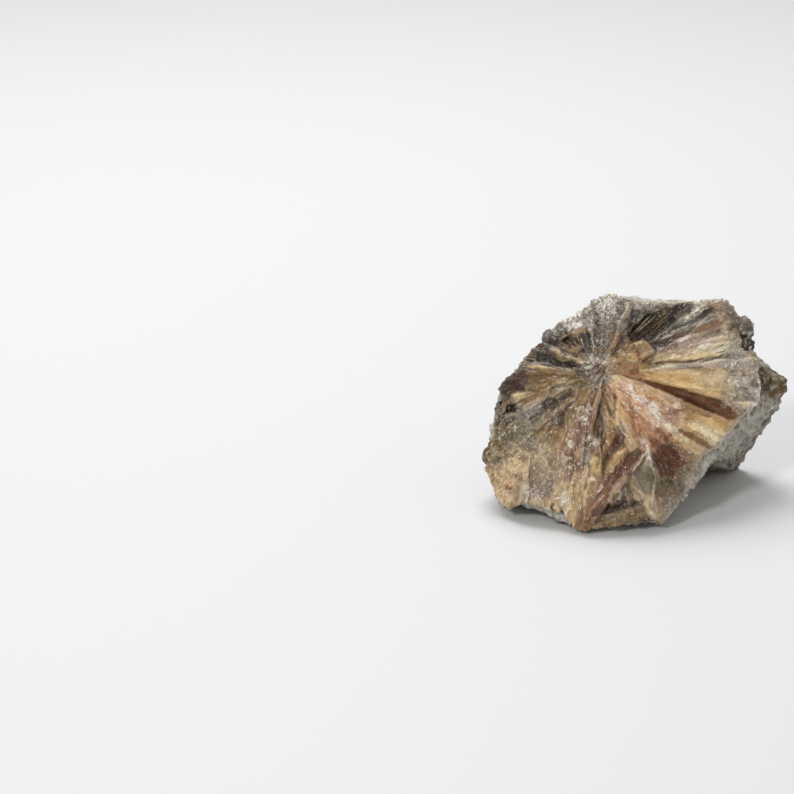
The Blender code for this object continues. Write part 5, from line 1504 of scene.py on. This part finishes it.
def make_sector(name, first, last, face, points, colour, frost, material):
    """One sector of the face, run back into the rock and closed behind."""
    spokes = np.arange(round(first / SPOKE_PITCH), round(last / SPOKE_PITCH) + 1) % len(face.rays)
    grid = (spokes[:, None] * RINGS + np.arange(RINGS)).ravel()
    index, quads = grid_quads(len(spokes), RINGS)
    loop = np.concatenate([index[0, :], index[1:, -1], index[-1, -2::-1], index[-2:0:-1, 0]])
    on_rim = np.zeros(len(loop))
    on_rim[RINGS - 1 : RINGS - 1 + len(spokes)] = 1
    sets, faces = [points[grid]], [quads]
    tints, fibres, rimes = [colour[grid]], [face.grain[grid]], [frost[grid]]
    turn, edge, inner = face.angle[grid][loop], points[grid][loop], face.radius[grid][loop]
    rim_tint, rim_fibre = tints[0][loop], fibres[0][loop]
    rime = np.clip(rimes[0][loop] + 0.2, 0, 1)
    pale = pale_side(turn) * on_rim
    spoke = np.repeat(spokes, RINGS)[loop]
    wide = round(CALM_DEG / SPOKE_PITCH)
    brink = points[:, 1].reshape(-1, RINGS)[:, -1:]
    calm = (smeared(face.reach[:, None], wide, 0)[:, 0] - face.reach)[spoke]
    settle = (smeared(brink, wide, 0) - brink)[spoke, 0] * on_rim
    previous, start = loop, index.size
    for row in range(1, SKIRT_ROWS + 1):
        share = row / SKIRT_ROWS
        blurred = smooth(0, CALM_BY, share)
        behind = edge + np.array([0, SKIRT_DEPTH * share, 0])
        behind[:, 1] += settle * blurred
        layer, fine = noise(behind / 2.4, 501), noise(behind / 0.8, 502)
        ledge = np.floor(SKIRT_LEDGES * layer) / SKIRT_LEDGES - layer
        inward = SKIRT_SLOPE * share**SKIRT_SLOPE_POWER * (1 - pale)
        inward += PALE_SKIRT_INSET * smooth(0.45, 1.0, share) * pale
        limit = face.reach[spoke] + calm * blurred - inward
        limit += 0.45 * layer + 0.3 * fine + 0.5 * ledge
        limit += 0.5 * facets(behind / 1.3, 503)[0] * blurred * (1 - pale)
        across, up = from_heart(turn, np.where(on_rim > 0, limit, np.minimum(inner, limit)))
        ring = np.stack([across, behind[:, 1], up], 1)
        rock_tint = blend(matrix_tint(ring)[0], tone("stone") * 1.1, 0.5 * pale)
        sets.append(ring)
        tints.append(blend(rim_tint, rock_tint, smooth(0.0, 0.35, share)))
        fibres.append(rim_fibre + [0, 0, FIBRE_PER_ROW * row])
        rimes.append(rime)
        now = start + np.arange(len(loop))
        faces.append(np.stack([np.roll(previous, -1), previous, now, np.roll(now, -1)], 1))
        previous, start = now, start + len(loop)
    sets.append((sets[-1].mean(axis=0) + np.array([0, SKIRT_CAP, 0]))[None])
    for values in (tints, fibres, rimes):
        values.append(values[-1][:1])
    faces.append(np.stack([np.roll(previous, -1), previous, np.full(len(previous), start)], 1))
    pile = Pile()
    pile.add(np.concatenate(sets), faces, *map(np.concatenate, (tints, fibres, rimes)))
    return pile.make(name, material, BLADE_SHARP_DEG)


# ---------------------------------------------------------------- rock

def hull_into(bm, corners):
    """A convex lump through these corners, added to the mesh."""
    lump = bmesh.new()
    for corner in corners:
        lump.verts.new(corner)
    made = bmesh.ops.convex_hull(lump, input=lump.verts)
    spare = [v for v in made["geom_interior"] if isinstance(v, bmesh.types.BMVert)]
    bmesh.ops.delete(lump, geom=spare, context="VERTS")
    bmesh.ops.recalc_face_normals(lump, faces=lump.faces)
    carried = bpy.data.meshes.new("carried")
    lump.to_mesh(carried)
    lump.free()
    bm.from_mesh(carried)
    bpy.data.meshes.remove(carried)


def lump_corners(centre, radii, rng):
    """The corners of a rough ball with these radii."""
    bm = bmesh.new()
    bmesh.ops.create_icosphere(bm, subdivisions=1, radius=1.0)
    for vert in bm.verts:
        vert.co *= 1 + rng.uniform(-1, 1) * LUMP_JITTER
    bm.transform(Matrix.Translation(centre) @ Matrix.Diagonal((*radii, 1)))
    found = [vert.co[:] for vert in bm.verts]
    bm.free()
    return found


def remeshed(bm, voxel, name):
    """One closed skin round overlapping lumps, as (points, quads)."""
    mesh = bpy.data.meshes.new(name)
    bm.to_mesh(mesh)
    bm.free()
    carrier = bpy.data.objects.new(name, mesh)
    bpy.context.scene.collection.objects.link(carrier)
    skin = carrier.modifiers.new("skin", "REMESH")
    skin.mode = "VOXEL"
    skin.voxel_size = voxel
    graph = bpy.context.evaluated_depsgraph_get()
    made = bpy.data.meshes.new_from_object(carrier.evaluated_get(graph))
    points = np.empty(len(made.vertices) * 3)
    made.vertices.foreach_get("co", points)
    normals = np.empty(len(made.vertices) * 3)
    made.vertices.foreach_get("normal", normals)
    quads = np.empty(len(made.polygons) * 4, np.int32)
    made.loops.foreach_get("vertex_index", quads)
    bpy.data.objects.remove(carrier)
    return points.reshape(-1, 3), normals.reshape(-1, 3), quads.reshape(-1, 4)


def matrix_tint(points):
    """Tint of bare matrix at these points, with its patches and its speckle.

    It is grey-white, and browner here and there.
    """
    patch = fractal(points / 5.0, 331, 3)
    speck = fractal(points / 0.7, 341, 3, 0.7)
    tint = blend(tone("stone"), tone("white"), smooth(-0.2, 0.7, speck) * 0.6)
    tint = blend(tint, tone("grey") * 0.8, smooth(-0.1, 0.6, patch))
    brownish = smooth(0.0, 0.45, fractal(points / 3.2, 351, 5, 0.65) + 0.02 * (points[:, 1] - 18))
    return blend(tint, tone("brown"), brownish * 0.5), patch, speck


def from_lump(points, number):
    """How far these points are from one of the lumps, in its own radii."""
    centre, radii = LUMPS[number]
    return np.linalg.norm((points - centre) / radii, axis=1)


def rock_skin():
    """The chunk and its lumps under one closed skin, as (points, normals, quads)."""
    bm = bmesh.new()
    face = [on_face(angle, radius, -RIM_SET_BACK) for angle, radius in RIM]
    face += [on_face(angle, radius / 2, -RIM_SET_BACK) for angle, radius in RIM]
    hull_into(bm, face + CORE_BACK)
    for corners in CHUNKS.values():
        hull_into(bm, corners)
    rng = random.Random(SEED + 1)
    for centre, radii in LUMPS:
        hull_into(bm, lump_corners(centre, radii, rng))
    return remeshed(bm, ROCK_VOXEL, "rock_skin")


def seen_within(points, outline):
    """Whether points, seen from the front, lie inside an outline given about the heart."""
    corners = np.array(outline, float)
    return outside(points[:, [0, 2]] - HEART, flat(corners[:, 0], corners[:, 1])) < 0


def below_valleys(points, near_face):
    """The points, moved back to the floor of each valley where they stood in it."""
    x, y, z = points.T
    for outline in VALLEYS.values():
        floor = face_depth(x, z) + np.mean([depth for _, _, depth in outline])
        low = seen_within(points, outline) & near_face
        y = np.where(low, np.maximum(y, floor), y)
    return np.stack([x, y, z], 1)


def rock_relief(points, near_face):
    """How far each point moves out, with its grain, its grit and a number for its facet."""
    ledge = fractal(points / 6.5, 301, 3)
    terraces = np.floor(ledge * TERRACES) / TERRACES - ledge
    grain = fractal(points / 1.5, 311, 4, 0.62)
    grit = fractal(points / 0.5, 321, 3, 0.6)
    lean, facet = facets(points / 1.7 + 0.3 * grain[:, None], 371)
    free = np.where(near_face, FREE_UNDER_BLADES, 1.0)
    for number in LUMP_TONES:
        free = np.minimum(free, 0.4 + 0.6 * smooth(1.0, 1.6, from_lump(points, number)))
    heights = (ledge, terraces, grain, grit, lean)
    moved = free * sum(depth * height for depth, height in zip(ROCK_DEPTHS, heights))
    return moved, grain, grit, facet


def rock_tints(points, normals, near_face, grain, grit, facet):
    """The rock's tints and speckle.

    It is pale matrix on the right flank, whiter on faces that turn up at the crown, and browner
    below and behind; where the blades leave gaps it is painted dark umber as shade.
    """
    x, y, z = points.T
    tint, patch, speck = matrix_tint(points)
    flank = smooth(-0.2, 0.3, normals[:, 0] - normals[:, 1]) * smooth(6, 11, x) * smooth(40, 34, z)
    stone = blend(tone("stone") * 1.4, tone("white"), smooth(0.0, 0.9, speck) * 0.5)
    stone = blend(stone, tone("grey"), smooth(0.1, 0.7, patch) * 0.5)
    pits = smooth(0.12, 0.4, fractal(points / 1.3, 361, 3, 0.6))
    stone = blend(stone, tone("umber"), pits * 0.6 * smooth(-0.6, 0.4, patch))
    tint = blend(tint, stone, flank)
    under = smooth(0.3, 0.8, -normals[:, 2]) * smooth(20, 30, y)
    tint = blend(tint, tone("brown"), under * 0.6)
    # Painted shade: rock seen in the gaps between the blades is painted dark umber.
    tint = blend(tint, tone("umber"), (near_face & seen_within(points, RIM)) * 0.85)
    crown = smooth(0.25, 0.8, normals[:, 2]) * smooth(38, 44, z)
    tint = blend(tint, tone("white"), crown * 0.55)
    bloom = smooth(0.0, 0.45, speck + 0.4 * patch) * 0.45
    for number, name in LUMP_TONES.items():
        on_lump = smooth(1.5, 1.15, from_lump(points, number) + 0.15 * grain)
        tint = blend(tint, blend(tone(name) * 0.6, tone("lilac"), bloom), on_lump)
    dark_grit = smooth(0.1, 0.7, -grit)
    return tint * (1 + 0.22 * speck - 0.25 * dark_grit + 0.3 * (facet - 0.5))[:, None], speck


def make_rock(material):
    """The chunk that the blades grow on: granular and broken in ledges."""
    points, normals, quads = rock_skin()
    x, y, z = points.T
    near_face = (normals[:, 1] < FACING_FRONT) & (y - face_depth(x, z) < NEAR_FACE)
    points = below_valleys(points, near_face)
    moved, grain, grit, facet = rock_relief(points, near_face)
    points = points + normals * moved[:, None]
    tint, speck = rock_tints(points, normals, near_face, grain, grit, facet)
    frost = np.clip(0.8 - 0.3 * near_face + 0.2 * speck, 0, 1)
    pile = Pile()
    pile.add(points, [quads], tint, points / 2, frost)
    return pile.make("matrix_rock", material, ROCK_SHARP_DEG)


# ---------------------------------------------------------------- crumbs

OCTAHEDRON = np.array([
    (1, 0, 0), (-1, 0, 0), (0, 1, 0), (0, -1, 0), (0, 0, 1), (0, 0, -1),
], float)
OCTAHEDRON_FACES = np.array([
    (0, 2, 4), (2, 1, 4), (1, 3, 4), (3, 0, 4), (2, 0, 5), (1, 2, 5), (3, 1, 5), (0, 3, 5),
])


def crumbs(centres, sizes, tints, seed):
    """Small angular grains: squashed, turned octahedra, as arrays for a pile."""
    rng = np.random.default_rng(seed)
    count = len(centres)
    turn = rng.normal(size=(count, 4))
    turn /= np.linalg.norm(turn, axis=1)[:, None]
    w, a, b, c = turn.T
    matrix = np.stack([
        1 - 2 * (b * b + c * c), 2 * (a * b - c * w), 2 * (a * c + b * w),
        2 * (a * b + c * w), 1 - 2 * (a * a + c * c), 2 * (b * c - a * w),
        2 * (a * c - b * w), 2 * (b * c + a * w), 1 - 2 * (a * a + b * b),
    ], 1).reshape(-1, 3, 3)
    shape = OCTAHEDRON[None] * rng.uniform(0.5, 1.2, (count, 6, 1))
    shape = shape * rng.uniform(0.45, 1.25, (count, 1, 3))
    points = np.einsum("nij,nkj->nki", matrix, shape) * np.asarray(sizes)[:, None, None]
    points = points + centres[:, None, :]
    faces = OCTAHEDRON_FACES[None] + 6 * np.arange(count)[:, None, None]
    tints = np.repeat(tints, 6, axis=0) * rng.uniform(0.8, 1.2, (count * 6, 1))
    return points.reshape(-1, 3), faces.reshape(-1, 3), tints


def scatter(pile, face, colour, seed, angles, radii, sizes, tones, count):
    """Crumbs bedded in a patch of the face, given in angle and radius about the heart."""
    rng = np.random.default_rng(seed)
    angle = rng.uniform(*angles, count)
    spoke = np.round(angle / SPOKE_PITCH).astype(int) % len(face.rays)
    reach = face.reach[spoke]
    radius = np.minimum(rng.uniform(*radii, count), reach - rng.uniform(0.1, 1.0, count))
    ring = np.round((radius / reach) ** (1 / RING_POWER) * (RINGS - 1)).astype(int)
    sample = spoke * RINGS + ring
    size = sizes[0] + (sizes[1] - sizes[0]) * rng.random(count) ** 3
    across, up = from_heart(angle, radius)
    back = face_depth(across, up) - face.height[sample] + size * rng.uniform(-0.3, 0.5, count)
    picks = np.array([tone(name) for name in tones])[rng.integers(len(tones), size=count)]
    centres, bedded = np.stack([across, back, up], 1), blend(colour[sample], picks, 0.55)
    points, faces, tints = crumbs(centres, size, bedded, seed + 1)
    pile.add(points, [faces], tints, points / 2, np.full(len(points), 0.7))


# Patches of crumbs: the range of angle, radius and size, the tones and how many there are.
CRUMB_PATCHES = [
    ((0, 360), (0.6, 3.8), (0.1, 0.35), ("haze", "lilac", "white", "grey"), 160),
    ((66, 100), (11.5, 16), (0.15, 0.75), ("white", "lilac", "white", "grey"), 420),
    ((60, 92), (5, 12), (0.1, 0.5), ("lilac", "mauve", "grey", "white"), 220),
    ((100, 142), (10.4, 12.8), (0.1, 0.4), ("white", "lilac", "grey"), 260),
    ((28, 60), (16, 30), (0.12, 0.45), ("white", "lilac", "grey", "beige"), 260),
    ((212, 240), (17, 31), (0.12, 0.5), ("beige", "olive", "straw", "cream"), 420),
    ((240, 300), (14, 30), (0.08, 0.25), ("mauve", "haze", "amber"), 160),
    ((344, 372), (25, 33), (0.12, 0.8), ("mauve", "haze", "white", "haze"), 560),
    ((10, 30), (27, 31), (0.12, 0.5), ("beige", "grey", "umber"), 200),
    ((8, 62), (3.5, 10), (0.1, 0.55), ("beige", "honey", "gold", "brown"), 160),
    ((296, 330), (23, 30), (0.12, 0.5), ("grey", "olive", "beige", "stone"), 260),
    ((200, 222), (17, 26), (0.12, 0.45), ("grey", "olive", "lilac"), 220),
]


def make_crumbs(face, colour, material):
    pile = Pile()
    for n, patch in enumerate(CRUMB_PATCHES):
        scatter(pile, face, colour, 700 + 10 * n, *patch)
    return pile.make("crumbs", material, CRUMB_SHARP_DEG)


# ---------------------------------------------------------------- materials

LIGHT_FLECK = (0.70, 0.64, 0.56, 1)
DARK_FLECK = (0.05, 0.03, 0.02, 1)
ROCK_FLECK = (0.62, 0.60, 0.57, 1)
TABLE_TONES = ((0.725, 0.73, 0.735, 1), (0.75, 0.755, 0.76, 1))


class Wire:
    """A shader value; Python's operators on it add Math nodes."""

    def __init__(self, net, socket):
        self.net = net
        self.socket = socket

    def maths(self, operation, *others, clamp=False):
        inputs = dict(enumerate((self, *others)))
        return self.net.node("ShaderNodeMath", {"operation": operation, "use_clamp": clamp}, inputs)

    def __add__(self, other):
        return self.maths("ADD", other)

    __radd__ = __add__

    def __mul__(self, other):
        return self.maths("MULTIPLY", other)

    __rmul__ = __mul__

    def __sub__(self, other):
        return self.maths("SUBTRACT", other)

    def __rsub__(self, other):
        return self * -1 + other

    def limited(self):
        return self.maths("ADD", 0.0, clamp=True)


class Net:
    """The node tree of one material."""

    def __init__(self, name):
        self.material = bpy.data.materials.new(name)
        self.material.use_nodes = True
        self.tree = self.material.node_tree
        self.shader = self.tree.nodes["Principled BSDF"]

    def node(self, kind, settings=None, inputs=None, out=0):
        """A node: its settings first, then the values or links of its sockets."""
        made = self.tree.nodes.new(kind)
        for key, value in (settings or {}).items():
            if key == "stops":
                self.stops(made, value)
            else:
                setattr(made, key, value)
        for key, value in (inputs or {}).items():
            self.feed(made.inputs[key], value)
        return Wire(self, made.outputs[out])

    def stops(self, ramp, stops):
        marks = ramp.color_ramp.elements
        while len(marks) < len(stops):
            marks.new(1.0)
        for mark, (place, value) in zip(marks, stops):
            mark.position = place
            mark.color = (value, value, value, 1)

    def feed(self, socket, value):
        if isinstance(value, Wire):
            self.tree.links.new(value.socket, socket)
        else:
            socket.default_value = value

    def noise(self, where, scale, detail=3.0, rough=0.55):
        inputs = {"Vector": where, "Scale": scale, "Detail": detail, "Roughness": rough}
        return self.node("ShaderNodeTexNoise", {}, inputs)

    def stretched(self, where, factors):
        return self.node("ShaderNodeVectorMath", {"operation": "MULTIPLY"}, {0: where, 1: factors})

    def mix(self, share, a, b, way="MIX"):
        return self.node(
            "ShaderNodeMix", {"data_type": "RGBA", "blend_type": way}, {0: share, 6: a, 7: b}, out=2
        )

    def attribute(self, name, out):
        return self.node("ShaderNodeAttribute", {"attribute_name": name}, out=out)

    def ramp(self, value, stops):
        return self.node("ShaderNodeValToRGB", {"stops": stops}, {"Fac": value})

    def bump(self, height, strength, distance):
        inputs = {"Height": height, "Strength": strength, "Distance": distance}
        return self.node("ShaderNodeBump", {}, inputs)

    def finish(self, **sockets):
        for key, value in sockets.items():
            self.feed(self.shader.inputs[key.replace("_", " ")], value)
        return self.material


def silky_gypsum():
    """Translucent cleavage blades: streaked, silky along the fibres, frosted where crumbly."""
    net = Net("silky_gypsum")
    tint = net.attribute("tint", "Color")
    fibre = net.attribute("fibre", "Vector")
    frost = net.attribute("frost", "Fac")
    threads = net.noise(net.stretched(fibre, (5.0, 2.0, 1.0)), 1.0, 4.0)
    hairs = net.noise(net.stretched(fibre, (16.0, 5.0, 1.0)), 1.0, 3.0)
    flecks = net.noise(net.stretched(fibre, (5.0, 4.0, 1.0)), 1.0, 4.0, 0.65)
    shade = threads * 0.36 + hairs * 0.3 + 0.67
    colour = net.mix(1.0, tint, shade, "MULTIPLY")
    light = net.ramp(flecks, [(0.58, 0.0), (0.70, 1.0)]) * frost
    colour = net.mix(light, colour, LIGHT_FLECK)
    dark = net.ramp(flecks, [(0.30, 1.0), (0.42, 0.0)]) * frost * 0.7
    colour = net.mix(dark, colour, DARK_FLECK)
    rough = (0.15 + frost * 0.38 + threads * 0.12).limited()
    height = threads * 0.35 + hairs * 0.25 + flecks * 0.5
    return net.finish(
        Base_Color=colour,
        Roughness=rough,
        Normal=net.bump(height, 0.35, 0.00012),
        Subsurface_Weight=0.5,
        Subsurface_Radius=(1.0, 0.62, 0.4),
        Subsurface_Scale=0.002,
        IOR=1.45,
        Coat_Weight=(0.4 - frost * 0.3).limited(),
        Specular_IOR_Level=0.3,
        Coat_Roughness=0.1,
    )


def granular_rock():
    """Grey-white granular matrix: dull, pitted and speckled."""
    net = Net("granular_rock")
    tint = net.attribute("tint", "Color")
    place = net.node("ShaderNodeTexCoord", {}, out="Object")
    coarse = net.noise(place, 900.0, 4.0, 0.65)
    grit = net.noise(place, 3200.0, 3.0, 0.6)
    colour = net.mix(1.0, tint, coarse * 1.5 + grit * 1.0 - 0.25, "MULTIPLY")
    colour = net.mix(net.ramp(coarse, [(0.57, 0.0), (0.66, 0.6)]), colour, ROCK_FLECK)
    return net.finish(
        Base_Color=colour,
        Roughness=(0.62 + coarse * 0.3).limited(),
        Normal=net.bump(coarse * 0.6 + grit * 0.5, 0.7, 0.00022),
        Subsurface_Weight=0.08,
        Subsurface_Radius=(1.0, 0.8, 0.6),
        Subsurface_Scale=0.0006,
    )


def table_finish():
    net = Net("table_sheet")
    place = net.node("ShaderNodeTexCoord", {}, out="Object")
    wave = net.noise(place, 3.0, 2.0)
    return net.finish(
        Base_Color=net.mix(wave, *TABLE_TONES),
        Roughness=0.6,
    )


# ---------------------------------------------------------------- table, camera and lights

TABLE_HALF_SIDE = 3.0


def make_table():
    mesh = bpy.data.meshes.new("table")
    side = TABLE_HALF_SIDE
    corners = [(-side, -side, 0), (side, -side, 0), (side, side, 0), (-side, side, 0)]
    mesh.from_pydata(corners, [], [(0, 1, 2, 3)])
    mesh.materials.append(table_finish())
    made = bpy.data.objects.new("table", mesh)
    bpy.context.scene.collection.objects.link(made)


CAMERA_DISTANCE = 550.0
CAMERA_PLANE = 8.0
CAMERA_AIM = (-46.4, 26.5)
FRAME_WIDTH = 154.83
SENSOR = 36.0


def make_camera():
    """A long lens, level with the leaned face, with the specimen to the right of its axis."""
    lean = math.radians(LEAN_DEG)
    back = CAMERA_PLANE - CAMERA_DISTANCE
    across, up = CAMERA_AIM
    depth = back * math.cos(lean) + up * math.sin(lean) - MIDDLE[1]
    height = up * math.cos(lean) - back * math.sin(lean)
    data = bpy.data.cameras.new("camera")
    data.sensor_width = SENSOR
    data.lens = SENSOR * CAMERA_DISTANCE / FRAME_WIDTH
    data.clip_start = 0.01
    data.clip_end = 20.0
    camera = bpy.data.objects.new("camera", data)
    camera.location = ((across - MIDDLE[0]) * MM, depth * MM, height * MM)
    camera.rotation_euler = (math.radians(90 - LEAN_DEG), 0, 0)
    bpy.context.scene.collection.objects.link(camera)
    bpy.context.scene.camera = camera


# Lamps: place and width in metres, and power in watts. All of them aim at the specimen's middle.
LAMPS = {
    "overhead": ((-0.12, 0.32, 0.62), 0.5, 3.6),
    "front_left": ((-0.4, -0.6, 0.56), 0.14, 2.5),
}
LAMP_AIM = (0.0, 0.0, 0.015)
WORLD_STRENGTH = 0.41


def area_light(name, place, size, power):
    data = bpy.data.lights.new(name, "AREA")
    data.shape = "DISK"
    data.size = size
    data.energy = power
    lamp = bpy.data.objects.new(name, data)
    lamp.location = place
    lamp.rotation_euler = (Vector(LAMP_AIM) - Vector(place)).to_track_quat("-Z", "Y").to_euler()
    bpy.context.scene.collection.objects.link(lamp)


def make_light():
    for name, settings in LAMPS.items():
        area_light(name, *settings)
    world = bpy.data.worlds.new("studio")
    world.use_nodes = True
    glow = world.node_tree.nodes["Background"]
    glow.inputs["Color"].default_value = (1, 1, 1, 1)
    glow.inputs["Strength"].default_value = WORLD_STRENGTH
    bpy.context.scene.world = world
    bpy.context.scene.view_settings.view_transform = "Standard"


def main():
    make_camera()
    make_table()
    make_light()
    gypsum = silky_gypsum()
    rock = granular_rock()
    face, points, colour, frost = grown_face()
    pieces = [
        make_sector(name, first, last, face, points, colour, frost, gypsum)
        for name, (first, last) in SECTORS.items()
    ]
    pieces.append(make_rock(rock))
    pieces.append(make_crumbs(face, colour, rock))
    for piece in pieces:
        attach(piece, "root")
        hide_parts("daisy_gypsum")


main()
